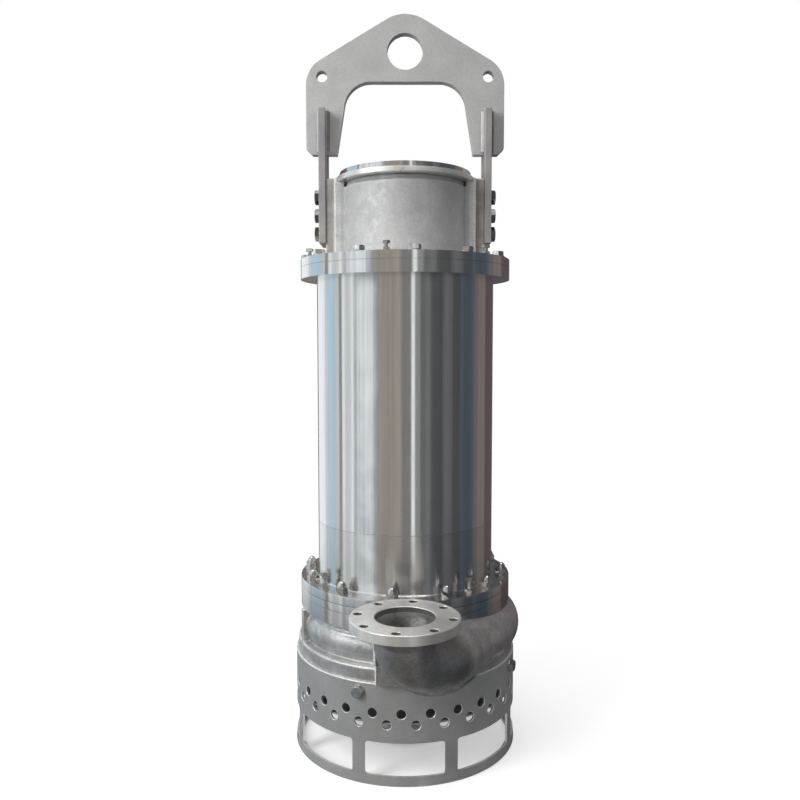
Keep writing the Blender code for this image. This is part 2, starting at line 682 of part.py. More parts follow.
def build_motor_casing(root):
    """Motor tube, the two bolting flanges that sit on it, and their fasteners."""
    tube = revolved(
        [
            (CASING_BORE, OIL_FLANGE_TOP + SEATED_GAP),
            (CASING_RADIUS, OIL_FLANGE_TOP + SEATED_GAP),
            (CASING_RADIUS, CASING_TOP),
            (CASING_BORE, CASING_TOP),
        ]
    )
    finish_object(tube, "motor_casing", "turned_steel", root)

    seat = CASING_RADIUS + SEATED_GAP
    bottom_flange = revolved(
        [
            (seat, OIL_FLANGE_TOP + SEATED_GAP),
            (FLANGE_RADIUS, OIL_FLANGE_TOP + SEATED_GAP),
            (FLANGE_RADIUS, CASING_BOTTOM_FLANGE_TOP - 2.0),
            (FLANGE_RADIUS - 2.0, CASING_BOTTOM_FLANGE_TOP),
            (seat + FLANGE_WELD, CASING_BOTTOM_FLANGE_TOP),
            (seat, CASING_BOTTOM_FLANGE_TOP + FLANGE_WELD),
        ]
    )
    top_flange = revolved(
        [
            (seat, CASING_TOP_FLANGE_LOW - FLANGE_WELD),
            (seat + FLANGE_WELD, CASING_TOP_FLANGE_LOW),
            (TOP_FLANGE_RADIUS - 2.0, CASING_TOP_FLANGE_LOW),
            (TOP_FLANGE_RADIUS, CASING_TOP_FLANGE_LOW + 2.0),
            (TOP_FLANGE_RADIUS, CASING_TOP),
            (seat, CASING_TOP),
        ]
    )
    holes = []
    above = CASING_BOTTOM_FLANGE_TOP + 7.0
    for index in range(STUD_COUNT):
        spot = clock_point(STUD_CIRCLE, STUD_START + 360.0 * index / STUD_COUNT)
        stud_hole = hole(STUD_RADIUS + 1.0, OIL_FLANGE_TOP - 7.0, above)
        holes.append(moved(stud_hole, Matrix.Translation(spot)))
    for degrees in JACK_ANGLES:
        spot = clock_point(STUD_CIRCLE, degrees)
        jack_hole = hole(JACK_RADIUS + SEATED_GAP, OIL_FLANGE_TOP + 7.0, above)
        holes.append(moved(jack_hole, Matrix.Translation(spot)))
    bottom_flange = combined(bottom_flange, [joined(holes)], "DIFFERENCE")
    finish_object(bottom_flange, "casing_bottom_flange", "turned_steel", root)
    holes = []
    for index in range(FLANGE_BOLT_COUNT):
        spot = clock_point(
            FLANGE_BOLT_CIRCLE, FLANGE_BOLT_START + 360.0 * index / FLANGE_BOLT_COUNT
        )
        bolt_hole = hole(STUD_RADIUS + SEATED_GAP, CASING_TOP - 27.0, CASING_TOP + 8.0)
        holes.append(moved(bolt_hole, Matrix.Translation(spot)))
    top_flange = combined(top_flange, [joined(holes)], "DIFFERENCE")
    finish_object(top_flange, "casing_top_flange", "turned_steel", root)

    for index in range(FLANGE_BOLT_COUNT):
        degrees = FLANGE_BOLT_START + 360.0 * index / FLANGE_BOLT_COUNT
        spot = clock_point(FLANGE_BOLT_CIRCLE, degrees, HOUSING_FLANGE_TOP)
        bolt = hex_bolt(STUD_RADIUS, 47.0, 30.0, 15.5)
        name = "flange_bolt_" + str(index + 1)
        finish_object(moved(bolt, Matrix.Translation(spot)), name, "fastener", root)
    for index in range(STUD_COUNT):
        degrees = STUD_START + 360.0 * index / STUD_COUNT
        spot = clock_point(STUD_CIRCLE, degrees, CASING_BOTTOM_FLANGE_TOP)
        stud = dome_nut(STUD_RADIUS, 65.0, 30.0, 18.0, 16.0)
        name = "dome_nut_stud_" + str(index + 1)
        finish_object(moved(stud, Matrix.Translation(spot)), name, "fastener", root)
    for degrees, label in zip(JACK_ANGLES, ("left", "right")):
        spot = clock_point(STUD_CIRCLE, degrees, CASING_BOTTOM_FLANGE_TOP)
        finish_object(
            moved(jack_bolt(), Matrix.Translation(spot)), "jack_bolt_" + label, "fastener", root
        )


def build_oil_chamber(root):
    """Ring between motor and volute that carries the lower bearing and the seal seat."""
    profile = [
        (SEAL_SEAT_OUTER + SEATED_GAP, VOLUTE_TOP + SEATED_GAP),
        (SEAL_SEAT_OUTER + 28.0, VOLUTE_TOP + SEATED_GAP),
        (SEAL_SEAT_OUTER + 34.0, SEAL_HIGH + 29.0),
        (CASING_BORE - 40.5, SEAL_HIGH + 29.0),
        (CASING_BORE - 30.5, VOLUTE_TOP + SEATED_GAP),
        (FLANGE_RADIUS, VOLUTE_TOP + SEATED_GAP),
        (FLANGE_RADIUS, OIL_FLANGE_TOP),
        (CASING_BORE - SEATED_GAP, OIL_FLANGE_TOP),
        (CASING_BORE - SEATED_GAP, SEAL_HIGH + 1.0),
        (BEARING_OUTER + 30.0, LOWER_BEARING_LOW + 6.0),
        (BEARING_OUTER + 20.0, LOWER_BEARING_HIGH + 10.0),
        (BEARING_OUTER + SEATED_GAP, LOWER_BEARING_HIGH + 10.0),
        (BEARING_OUTER + SEATED_GAP, LOWER_BEARING_LOW - SEATED_GAP),
        (52.0, LOWER_BEARING_LOW - SEATED_GAP),
        (52.0, 520.0),
        (SEAL_SEAT_OUTER + SEATED_GAP, SEAL_HIGH + 1.0),
    ]
    chamber = revolved(profile)
    holes = []
    for index in range(STUD_COUNT):
        spot = clock_point(STUD_CIRCLE, STUD_START + 360.0 * index / STUD_COUNT)
        stud_hole = hole(STUD_RADIUS + 1.0, VOLUTE_TOP - 14.0, OIL_FLANGE_TOP + 13.0)
        holes.append(moved(stud_hole, Matrix.Translation(spot)))
    chamber = combined(chamber, [joined(holes)], "DIFFERENCE")
    finish_object(chamber, "oil_chamber", "turned_steel", root)


def scroll_sections(shrink):
    """Sections of the volute tube: centre, downward and sideways half axes."""
    sections = []
    for step in range(SCROLL_STEPS + 1):
        share = step / SCROLL_STEPS
        degrees = SCROLL_START_ANGLE - SCROLL_SWEEP * share
        centre = clock_point(SCROLL_CENTRE_START + SCROLL_CENTRE_GROWTH * share, degrees, SCROLL_Z)
        radius = SCROLL_TUBE_START + SCROLL_TUBE_GROWTH * share - shrink
        down = Vector((0.0, 0.0, -radius))
        sections.append((centre, down, clock_point(radius, degrees)))
    return sections


def elbow_sections(shrink):
    """Sections from the end of the scroll, round the elbow and up to the flange."""
    toward = Vector((math.sqrt(0.5), math.sqrt(0.5), 0.0))
    across = Vector((math.sqrt(0.5), -math.sqrt(0.5), 0.0))
    neck = Vector((0.0, -DISCHARGE_REACH, ELBOW_PIVOT_Z))
    pivot = neck + toward * ELBOW_BEND
    last_angle = math.radians(SCROLL_START_ANGLE - SCROLL_SWEEP)
    start = clock_point(
        SCROLL_CENTRE_START + SCROLL_CENTRE_GROWTH, math.degrees(last_angle), SCROLL_Z
    )
    heading = Vector((-math.cos(last_angle), -math.sin(last_angle), 0.0))
    first = SCROLL_TUBE_START + SCROLL_TUBE_GROWTH
    target = Vector((pivot.x, pivot.y, SCROLL_Z))
    rise = ELBOW_PIVOT_Z - ELBOW_BEND - SCROLL_Z
    handle = start + heading * 255.0
    sections = []
    steps = 6
    for step in range(1, steps):
        t = step / steps
        centre = start * (1 - t) ** 2 + handle * 2 * t * (1 - t) + target * t ** 2
        centre.z += rise * t ** 3
        ahead = ((handle - start) * (1 - t) + (target - handle) * t).normalized()
        side = Vector((-ahead.y, ahead.x, 0.0))
        depth = first + (ELBOW_DEPTH - first) * t - shrink
        width = first + (ELBOW_WIDTH - first) * t - shrink
        sections.append((centre, Vector((0.0, 0.0, -depth)), side * width))
    for step in range(ELBOW_STEPS + 1):
        angle = math.radians(90.0 - 90.0 * step / ELBOW_STEPS)
        outward = -toward * math.cos(angle) - Vector((0.0, 0.0, math.sin(angle)))
        centre = pivot + outward * ELBOW_BEND
        sections.append(
            (centre, outward * (ELBOW_DEPTH - shrink), across * (ELBOW_WIDTH - shrink))
        )
    top = DISCHARGE_FACE_Z - DISCHARGE_FLANGE_THICKNESS
    centre = Vector((neck.x, neck.y, top + 10.0))
    radius = ELBOW_NECK_RADIUS - shrink
    sections.append((centre - Vector((0.0, 0.0, 18.0)), -toward * radius, across * radius))
    sections.append((centre, -toward * radius, across * radius))
    return sections


def swept_tube(sections):
    """Skin oval sections given by their centres and two half axes."""
    loops = []
    for centre, down, side in sections:
        loop = []
        for step in range(TUBE_STEPS):
            angle = 2.0 * math.pi * step / TUBE_STEPS
            loop.append(centre + down * math.cos(angle) + side * math.sin(angle))
        loops.append(loop)
    return skinned(loops)


def build_volute(root):
    """Volute casing with its scroll, elbow, discharge flange, ribs and bolting faces."""
    body = revolved(
        [
            (0.0, VOLUTE_BAND_LOW),
            (VOLUTE_BAND_RADIUS, VOLUTE_BAND_LOW),
            (VOLUTE_BAND_RADIUS, VOLUTE_STEP_Z - 4.0),
            (VOLUTE_BAND_RADIUS - 4.0, VOLUTE_STEP_Z),
            (VOLUTE_BODY_RADIUS - 1.0, VOLUTE_STEP_Z + 3.0),
            (VOLUTE_BODY_RADIUS + 3.0, SCROLL_Z),
            (VOLUTE_BODY_RADIUS - 1.0, VOLUTE_NECK_LOW - 4.0),
            (VOLUTE_NECK_RADIUS, VOLUTE_NECK_LOW),
            (VOLUTE_NECK_RADIUS, VOLUTE_FLANGE_LOW),
            (FLANGE_RADIUS, VOLUTE_FLANGE_LOW),
            (FLANGE_RADIUS, VOLUTE_TOP),
            (0.0, VOLUTE_TOP),
        ]
    )
    at_flange = Matrix.Translation((0.0, -DISCHARGE_REACH, 0.0))
    flange_low = DISCHARGE_FACE_Z - DISCHARGE_FLANGE_THICKNESS
    flange = revolved(
        [
            (0.0, flange_low - 1.0),
            (ELBOW_NECK_RADIUS + 7.0, flange_low - 1.0),
            (ELBOW_NECK_RADIUS + 8.0, flange_low),
            (DISCHARGE_FLANGE_RADIUS, flange_low),
            (DISCHARGE_FLANGE_RADIUS, DISCHARGE_FACE_Z - 1.5),
            (DISCHARGE_FLANGE_RADIUS - 1.5, DISCHARGE_FACE_Z),
            (0.0, DISCHARGE_FACE_Z),
        ]
    )
    additions = [
        swept_tube(scroll_sections(0.0) + elbow_sections(0.0)),
        moved(flange, at_flange),
        box(
            (GUSSET_LEFT, GUSSET_RIGHT),
            (GUSSET_FRONT, 2.0 - CHAMBER_RADIUS),
            (GUSSET_LOW, GUSSET_HIGH - 24.0),
        ),
        box(
            (GUSSET_LEFT + 1.0, GUSSET_LEFT + 15.0),
            (40.0 - DISCHARGE_REACH, -VOLUTE_BODY_RADIUS - 2.0),
            (SCROLL_Z + 10.0, GUSSET_HIGH),
        ),
    ]
    for degrees in (SIDE_RIB_ANGLE, SIDE_RIB_ANGLE + 180.0):
        turn = Matrix.Rotation(math.radians(degrees), 4, "Z")
        rib = box(
            (-SIDE_RIB_WIDTH / 2.0, SIDE_RIB_WIDTH / 2.0),
            (-VOLUTE_BODY_RADIUS - 20.0, 29.0 - VOLUTE_BODY_RADIUS),
            (SCROLL_Z - 72.0, VOLUTE_FLANGE_LOW + 3.0),
        )
        additions.append(moved(rib, turn))
    body = combined(body, additions, "UNION")
    below = VOLUTE_BAND_LOW - 26.0
    above = VOLUTE_TOP + 46.0
    chamber = revolved(
        [
            (0.0, below),
            (COVER_BORE_RADIUS, below),
            (COVER_BORE_RADIUS, CHAMBER_LOW),
            (CHAMBER_RADIUS, CHAMBER_LOW),
            (CHAMBER_RADIUS, above),
            (0.0, above),
        ]
    )
    over_face = DISCHARGE_FACE_Z + 22.0
    bore = rod(DISCHARGE_BORE_RADIUS, flange_low - 6.0, over_face, 32)
    inside = [
        chamber,
        swept_tube(scroll_sections(CASTING_WALL) + elbow_sections(CASTING_WALL)),
        moved(bore, at_flange),
    ]
    holes = []
    for index in range(DISCHARGE_HOLE_COUNT):
        degrees = DISCHARGE_HOLE_START + 360.0 * index / DISCHARGE_HOLE_COUNT
        spot = clock_point(DISCHARGE_HOLE_CIRCLE, degrees) + Vector((0.0, -DISCHARGE_REACH, 0.0))
        flange_hole = rod(DISCHARGE_HOLE_RADIUS, DISCHARGE_FACE_Z - 48.0, over_face, 10)
        holes.append(moved(flange_hole, Matrix.Translation(spot)))
    for index in range(STUD_COUNT):
        spot = clock_point(STUD_CIRCLE, STUD_START + 360.0 * index / STUD_COUNT)
        stud_hole = hole(STUD_RADIUS + SEATED_GAP, VOLUTE_TOP - 17.0, VOLUTE_TOP + 26.0)
        holes.append(moved(stud_hole, Matrix.Translation(spot)))
    for index in range(STRAINER_BOLT_COUNT):
        degrees = STRAINER_BOLT_START + 360.0 * index / STRAINER_BOLT_COUNT
        place = radial_matrix(degrees, SKIRT_RADIUS, STRAINER_BOLT_Z)
        holes.append(moved(hole(10.0 + SEATED_GAP, -36.0, 20.0), place))
    inside.append(joined(holes))
    body = combined(body, inside, "DIFFERENCE")
    finish_object(body, "volute_casing", "cast_steel", root)

    plate_outer = CHAMBER_RADIUS - SEATED_GAP
    rear_plate = revolved(
        [
            (SLEEVE_RADIUS + 3.0, REAR_PLATE_LOW),
            (plate_outer, REAR_PLATE_LOW),
            (plate_outer, VOLUTE_TOP),
            (plate_outer - 31.7, VOLUTE_TOP),
            (plate_outer - 39.7, VOLUTE_TOP - 12.0),
            (SLEEVE_RADIUS + 3.0, VOLUTE_TOP - 12.0),
        ]
    )
    finish_object(rear_plate, "rear_wear_plate", "hard_iron", root)

    cover_outer = COVER_BORE_RADIUS - SEATED_GAP
    suction_cover = revolved(
        [
            (SUCTION_EYE_RADIUS + 10.0, SUCTION_COVER_LOW - 22.0),
            (SUCTION_EYE_RADIUS + 26.0, SUCTION_COVER_LOW),
            (cover_outer, SUCTION_COVER_LOW),
            (cover_outer, CHAMBER_LOW - SEATED_GAP),
            (SUCTION_EYE_RADIUS + 6.0, CHAMBER_LOW - SEATED_GAP),
            (SUCTION_EYE_RADIUS, CHAMBER_LOW - 8.0),
            (SUCTION_EYE_RADIUS, SUCTION_COVER_LOW - 10.0),
        ]
    )
    finish_object(suction_cover, "suction_cover", "hard_iron", root)


def build_strainer(root):
    """Strainer: base ring with the posts between eight windows, and the skirt above."""
    inner = SKIRT_RADIUS - SKIRT_WALL
    base = revolved(
        [
            (BASE_RING_INNER, 0.0),
            (BASE_RING_RADIUS, 0.0),
            (BASE_RING_RADIUS, BASE_RING_TOP),
            (SKIRT_RADIUS, BASE_RING_TOP + 1.0),
            (SKIRT_RADIUS, WINDOW_HIGH),
            (inner, WINDOW_HIGH),
            (inner, BASE_RING_TOP),
            (BASE_RING_INNER, BASE_RING_TOP),
        ]
    )
    cuts = []
    for index in range(WINDOW_COUNT // 2):
        angle = 360.0 * index / WINDOW_COUNT
        half = inner * math.sin(math.radians(WINDOW_HALF_ANGLE))
        corner = WINDOW_CORNER
        above = WINDOW_HIGH + 20.0
        outline = [(half, above), (-half, above)]
        for centre, first in (
            ((-half + corner, WINDOW_LOW + corner), 180.0),
            ((half - corner, WINDOW_LOW + corner), 270.0),
        ):
            outline += arc_points(centre, corner, first, first + 90.0, 2)
        for front in (1.0, -1.0):
            near = -front * (inner - 84.0)
            far = -front * (inner + 36.0)
            opening = prism(outline, far, near, "Y")
            cuts.append(moved(opening, Matrix.Rotation(math.radians(angle), 4, "Z")))
    base = combined(base, [joined(cuts)], "DIFFERENCE")
    finish_object(base, "strainer_base", "sheet_steel", root)

    skirt_low = WINDOW_HIGH + SEATED_GAP
    skirt = revolved(
        [
            (SKIRT_RADIUS, skirt_low),
            (SKIRT_RADIUS, SKIRT_TOP),
            (inner, SKIRT_TOP),
            (inner, skirt_low),
        ]
    )
    cuts = []
    for height, offset in (
        (UPPER_HOLE_ROW, STRAINER_ROW_START),
        (LOWER_HOLE_ROW, STRAINER_ROW_START + 180.0 / STRAINER_HOLE_COUNT),
    ):
        for index in range(STRAINER_HOLE_COUNT):
            degrees = offset + 360.0 * index / STRAINER_HOLE_COUNT
            place = radial_matrix(degrees, SKIRT_RADIUS, height)
            cuts.append(moved(rod(STRAINER_HOLE_RADIUS, -20.0, 20.0, 8), place))
    for index in range(STRAINER_BOLT_COUNT):
        degrees = STRAINER_BOLT_START + 360.0 * index / STRAINER_BOLT_COUNT
        place = radial_matrix(degrees, SKIRT_RADIUS, STRAINER_BOLT_Z)
        cuts.append(moved(hole(11.0, -20.0, 20.0), place))
    notch = moved(
        rod(NOTCH_RADIUS, SKIRT_RADIUS - 131.0, SKIRT_RADIUS + 69.0, 48),
        Matrix.Translation((NOTCH_X, 0.0, NOTCH_Z))
        @ Matrix.Rotation(math.radians(90.0), 4, "X"),
    )
    cuts.append(notch)
    skirt = combined(skirt, [joined(cuts)], "DIFFERENCE")
    finish_object(skirt, "strainer", "sheet_steel", root)
    seat = SKIRT_RADIUS * math.cos(math.pi / ROUND_STEPS)
    for index in range(STRAINER_BOLT_COUNT):
        degrees = STRAINER_BOLT_START + 360.0 * index / STRAINER_BOLT_COUNT
        bolt = hex_bolt(10.0, 34.0, 30.0, 15.5)
        place = radial_matrix(degrees, seat, STRAINER_BOLT_Z)
        finish_object(
            moved(bolt, place), "strainer_bolt_" + str(index + 1), "fastener", root
        )


def build_stationary_inner(root):
    """Stator, bearings and the stationary half of the shaft seal."""
    bore = ROTOR_RADIUS + AIR_GAP
    outer = CASING_BORE - SEATED_GAP
    stator = revolved(
        [
            (bore, STACK_LOW),
            (bore + 26.0, STACK_LOW - WINDING_REACH),
            (bore + 74.0, STACK_LOW - WINDING_REACH),
            (bore + 84.0, STACK_LOW),
            (outer, STACK_LOW),
            (outer, STACK_HIGH),
            (bore + 84.0, STACK_HIGH),
            (bore + 74.0, STACK_HIGH + WINDING_REACH),
            (bore + 26.0, STACK_HIGH + WINDING_REACH),
            (bore, STACK_HIGH),
        ]
    )
    finish_object(stator, "stator", "laminations", root)
    for name, low, high in (
        ("upper_bearing", UPPER_BEARING_LOW, UPPER_BEARING_HIGH),
        ("lower_bearing", LOWER_BEARING_LOW, LOWER_BEARING_HIGH),
    ):
        ring = revolved(
            [
                (running_bore(SHAFT_RADIUS, INNER_STEPS), low),
                (BEARING_OUTER, low),
                (BEARING_OUTER, high),
                (running_bore(SHAFT_RADIUS, INNER_STEPS), high),
            ],
            INNER_STEPS,
        )
        finish_object(ring, name, "turned_steel", root)
    seat = revolved(
        [
            (running_bore(SLEEVE_RADIUS, INNER_STEPS), SEAL_LOW),
            (SEAL_SEAT_OUTER, SEAL_LOW),
            (SEAL_SEAT_OUTER, SEAL_HIGH),
            (running_bore(SLEEVE_RADIUS, INNER_STEPS), SEAL_HIGH),
        ],
        INNER_STEPS,
    )
    finish_object(seat, "seal_seat", "seal_face", root)


def vane_outline(length_start, length_end, thickness, sweep, steps=7):
    """Curved blade in plan, leaning back as it runs outwards."""
    outer = []
    inner = []
    for step in range(steps + 1):
        share = step / steps
        radius = length_start + (length_end - length_start) * share
        angle = math.radians(sweep * share)
        half = math.atan2(thickness / 2.0, radius)
        outer.append((radius * math.cos(angle + half), radius * math.sin(angle + half)))
        inner.append((radius * math.cos(angle - half), radius * math.sin(angle - half)))
    return inner + list(reversed(outer))


def build_rotor(axis_empty):
    """Shaft with rotor core, seal sleeve, impeller and agitator: all turn together."""
    step_low = LOWER_BEARING_LOW - 6.0
    shaft = revolved(
        [
            (0.0, SHAFT_LOW),
            (SHAFT_END_RADIUS - 3.0, SHAFT_LOW),
            (SHAFT_END_RADIUS, SHAFT_LOW + 3.0),
            (SHAFT_END_RADIUS, step_low),
            (SHAFT_RADIUS, step_low),
            (SHAFT_RADIUS, SHAFT_HIGH - 3.0),
            (SHAFT_RADIUS - 3.0, SHAFT_HIGH),
            (0.0, SHAFT_HIGH),
        ],
        INNER_STEPS,
    )
    finish_object(shaft, "shaft", "turned_steel", axis_empty)

    core_bore = SHAFT_RADIUS + SEATED_GAP
    core = revolved(
        [
            (core_bore, STACK_LOW - 24.0),
            (ROTOR_RADIUS - 6.0, STACK_LOW - 24.0),
            (ROTOR_RADIUS, STACK_LOW),
            (ROTOR_RADIUS, STACK_HIGH),
            (ROTOR_RADIUS - 6.0, STACK_HIGH + 24.0),
            (core_bore, STACK_HIGH + 24.0),
        ],
        INNER_STEPS,
    )
    finish_object(core, "rotor_core", "laminations", axis_empty)

    end_bore = SHAFT_END_RADIUS + SEATED_GAP
    sleeve = revolved(
        [
            (end_bore, IMPELLER_DISC_HIGH + SEATED_GAP),
            (SLEEVE_RADIUS, IMPELLER_DISC_HIGH + SEATED_GAP),
            (SLEEVE_RADIUS, SEAL_HIGH + 11.0),
            (end_bore, SEAL_HIGH + 11.0),
        ],
        INNER_STEPS,
    )
    finish_object(sleeve, "seal_sleeve", "turned_steel", axis_empty)

    impeller = revolved(
        [
            (end_bore, IMPELLER_VANE_LOW),
            (44.0, IMPELLER_VANE_LOW),
            (58.0, IMPELLER_DISC_LOW - 20.0),
            (84.0, IMPELLER_DISC_LOW),
            (IMPELLER_RADIUS, IMPELLER_DISC_LOW + 4.0),
            (IMPELLER_RADIUS, IMPELLER_DISC_HIGH - 2.0),
            (60.0, IMPELLER_DISC_HIGH),
            (end_bore, IMPELLER_DISC_HIGH),
        ],
        INNER_STEPS,
    )
    vanes = []
    for index in range(IMPELLER_VANES):
        outline = vane_outline(38.0, IMPELLER_RADIUS - 4.0, 16.0, 70.0)
        vane = prism(outline, IMPELLER_VANE_LOW, IMPELLER_DISC_LOW + 8.0, "Z")
        turn = Matrix.Rotation(2.0 * math.pi * index / IMPELLER_VANES, 4, "Z")
        vanes.append(moved(vane, turn))
    impeller = combined(impeller, vanes, "UNION")
    finish_object(impeller, "impeller", "hard_iron", axis_empty)

    agitator = revolved(
        [
            (end_bore, AGITATOR_LOW),
            (48.0, AGITATOR_LOW),
            (52.0, AGITATOR_LOW + 40.0),
            (44.0, IMPELLER_VANE_LOW - SEATED_GAP - 20.0),
            (40.0, IMPELLER_VANE_LOW - SEATED_GAP),
            (end_bore, IMPELLER_VANE_LOW - SEATED_GAP),
        ],
        INNER_STEPS,
    )
    blades = []
    for index in range(AGITATOR_BLADES):
        outline = vane_outline(34.0, AGITATOR_RADIUS, 20.0, 24.0, 4)
        blade = prism(outline, AGITATOR_LOW + 6.0, AGITATOR_LOW + 76.0, "Z")
        turn = Matrix.Rotation(2.0 * math.pi * index / AGITATOR_BLADES, 4, "Z")
        blades.append(moved(blade, turn))
    agitator = combined(agitator, blades, "UNION")
    finish_object(agitator, "agitator", "hard_iron", axis_empty)


def centre_on_floor(root):
    """Shift the root so that the middle of the whole part's footprint is the origin."""
    bpy.context.view_layer.update()
    xs = []
    ys = []
    for item in bpy.data.objects:
        if item.type == "MESH":
            for vertex in item.data.vertices:
                point = item.matrix_world @ vertex.co
                xs.append(point.x)
                ys.append(point.y)
    root.location.x = -round((min(xs) + max(xs)) / 2.0, 5)
    root.location.y = -round((min(ys) + max(ys)) / 2.0, 5)


def main():
    """Build the whole pump."""
    clear_scene()
    root = bpy.data.objects.new("slurry_pump", None)
    bpy.context.collection.objects.link(root)
    rotor_axis = bpy.data.objects.new("rotor_axis", None)
    bpy.context.collection.objects.link(rotor_axis)
    rotor_axis.parent = root
    build_yoke(root)
    build_bars(root)
    build_terminal_housing(root)
    build_motor_casing(root)
    build_oil_chamber(root)
    build_volute(root)
    build_strainer(root)
    build_stationary_inner(root)
    build_rotor(rotor_axis)
    centre_on_floor(root)


main()
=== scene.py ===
"""Looks of the submersible slurry pump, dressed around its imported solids.

Sizes are in millimetres, measured from the shaft line and from the floor. Each mesh is scaled
to metres and put on the shaft line when its piece is placed. Clock angles are in degrees,
counted from the discharge side towards the right-hand side.
"""

import logging
import math
import random
from dataclasses import dataclass
from enum import Enum

import bmesh
import bpy
from mathutils import Matrix, Vector


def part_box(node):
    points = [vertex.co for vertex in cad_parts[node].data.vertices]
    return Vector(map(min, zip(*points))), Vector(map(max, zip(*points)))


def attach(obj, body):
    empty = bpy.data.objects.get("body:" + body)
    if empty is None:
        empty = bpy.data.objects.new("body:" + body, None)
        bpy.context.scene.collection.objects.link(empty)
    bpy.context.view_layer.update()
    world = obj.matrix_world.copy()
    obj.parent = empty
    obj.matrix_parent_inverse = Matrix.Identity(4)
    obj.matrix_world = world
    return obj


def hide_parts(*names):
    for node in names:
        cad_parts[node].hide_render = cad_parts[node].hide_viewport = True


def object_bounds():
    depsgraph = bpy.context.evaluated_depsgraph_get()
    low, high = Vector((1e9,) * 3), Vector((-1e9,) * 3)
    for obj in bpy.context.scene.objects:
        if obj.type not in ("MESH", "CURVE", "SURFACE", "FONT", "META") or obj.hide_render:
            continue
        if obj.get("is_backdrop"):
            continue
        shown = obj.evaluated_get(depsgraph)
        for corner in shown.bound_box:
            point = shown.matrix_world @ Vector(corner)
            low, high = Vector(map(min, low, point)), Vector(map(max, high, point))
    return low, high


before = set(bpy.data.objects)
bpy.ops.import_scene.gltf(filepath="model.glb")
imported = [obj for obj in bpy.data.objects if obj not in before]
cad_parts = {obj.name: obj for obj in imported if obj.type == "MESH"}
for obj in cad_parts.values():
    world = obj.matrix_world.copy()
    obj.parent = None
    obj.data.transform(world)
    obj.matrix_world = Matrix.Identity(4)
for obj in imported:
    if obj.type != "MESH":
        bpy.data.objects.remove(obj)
CAD_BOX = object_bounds()

LOG = logging.getLogger("slurry_pump")
MM = 0.001
ROUND_STEPS = 192
SHARP_ANGLE = 32.0
NOISE_MIDDLE = (0.32, 0.68)

Colour = tuple[float, float, float]
Point = tuple[float, float]
Outline = list[Point]
Span = tuple[float, float]
WHITE: Colour = (1.0, 1.0, 1.0)


class Body(Enum):
    """The two bodies of the frame."""

    PUMP = "pump_body"
    ROTOR = "rotor"


class Slot(Enum):
    """Material slots that the finishes carry."""

    TURNED = "turned_steel"
    CAST = "cast_steel"
    HOUSING = "housing_cast"
    PLATE = "plate_steel"
    FASTENER = "fastener"
    SHEET = "sheet_steel"
    LAMINATIONS = "laminations"
    HARD_IRON = "hard_iron"
    SEAL = "seal_face"


class Operation(Enum):
    """What a tool does to a solid."""

    CUT = "DIFFERENCE"
    KEEP = "INTERSECT"


class Axis(Enum):
    """Directions in which an outline can be extruded."""

    X = "X"
    Y = "Y"
    Z = "Z"


def shaft_line() -> Vector:
    """Return the foot of the shaft line, from the middle of the motor tube, in metres.

    Returns:
        The point on the floor.
    """
    low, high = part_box("motor_casing")
    return Vector(((low.x + high.x) / 2.0, (low.y + high.y) / 2.0, 0.0))


SHAFT = shaft_line()


def clock(radius: float, degrees: float, height: float = 0.0) -> Vector:
    """Return the point at a clock angle round the shaft line."""
    angle = math.radians(degrees)
    return Vector((radius * math.sin(angle), -radius * math.cos(angle), height))


def shifted(x: float, y: float, z: float) -> Matrix:
    """Return the matrix of a shift."""
    return Matrix.Translation((x, y, z))


def turned_by(degrees: float, axis: Axis = Axis.Z) -> Matrix:
    """Return the matrix of a turn about one axis."""
    return Matrix.Rotation(math.radians(degrees), 4, axis.value)


def around(start: float, count: int) -> list[float]:
    """Return the clock angles of evenly spaced pieces."""
    return [start + 360.0 * index / count for index in range(count)]


def upright(radius: float, degrees: float, height: float, twist: float) -> Matrix:
    """Return the matrix that stands a piece at a clock angle and twists it."""
    return Matrix.Translation(clock(radius, degrees, height)) @ turned_by(degrees + twist)


def outward(degrees: float, radius: float, height: float) -> Matrix:
    """Return the matrix that turns +Z outwards from the shaft line at a clock angle."""
    place = Matrix.Translation(clock(radius, degrees, height))
    return place @ turned_by(degrees) @ turned_by(90.0, Axis.X)


def arc(centre: Point, radius: float, first: float, last: float, steps: int) -> Outline:
    """Return the points of an arc in a plane, both ends included.

    Args:
        centre: Middle of the arc.
        radius: Its radius.
        first: First angle in degrees.
        last: Last angle in degrees.
        steps: Number of pieces.

    Returns:
        The points in order.
    """
    points = []
    for step in range(steps + 1):
        angle = math.radians(first + (last - first) * step / steps)
        points.append((centre[0] + radius * math.cos(angle), centre[1] + radius * math.sin(angle)))
    return points


def softened(outline: Outline, radius: float, steps: int = 3) -> Outline:
    """Round every corner of a closed outline.

    Args:
        outline: Corner points in order.
        radius: Largest rounding, made smaller where an edge is short.
        steps: Number of pieces in each rounding.

    Returns:
        The outline with each corner replaced by a short curve.
    """
    result: Outline = []
    count = len(outline)
    for index, corner in enumerate(outline):
        here = Vector(corner)
        before = Vector(outline[index - 1]) - here
        after = Vector(outline[(index + 1) % count]) - here
        if before.angle(after) > math.radians(165.0) or corner[0] < 0.01:
            result.append(corner)
            continue
        reach = min(radius, before.length * 0.45, after.length * 0.45)
        start = here + before.normalized() * reach
        end = here + after.normalized() * reach
        for step in range(steps + 1):
            share = step / steps
            point = start * (1 - share) ** 2 + here * 2 * share * (1 - share) + end * share**2
            result.append((point.x, point.y))
    return result


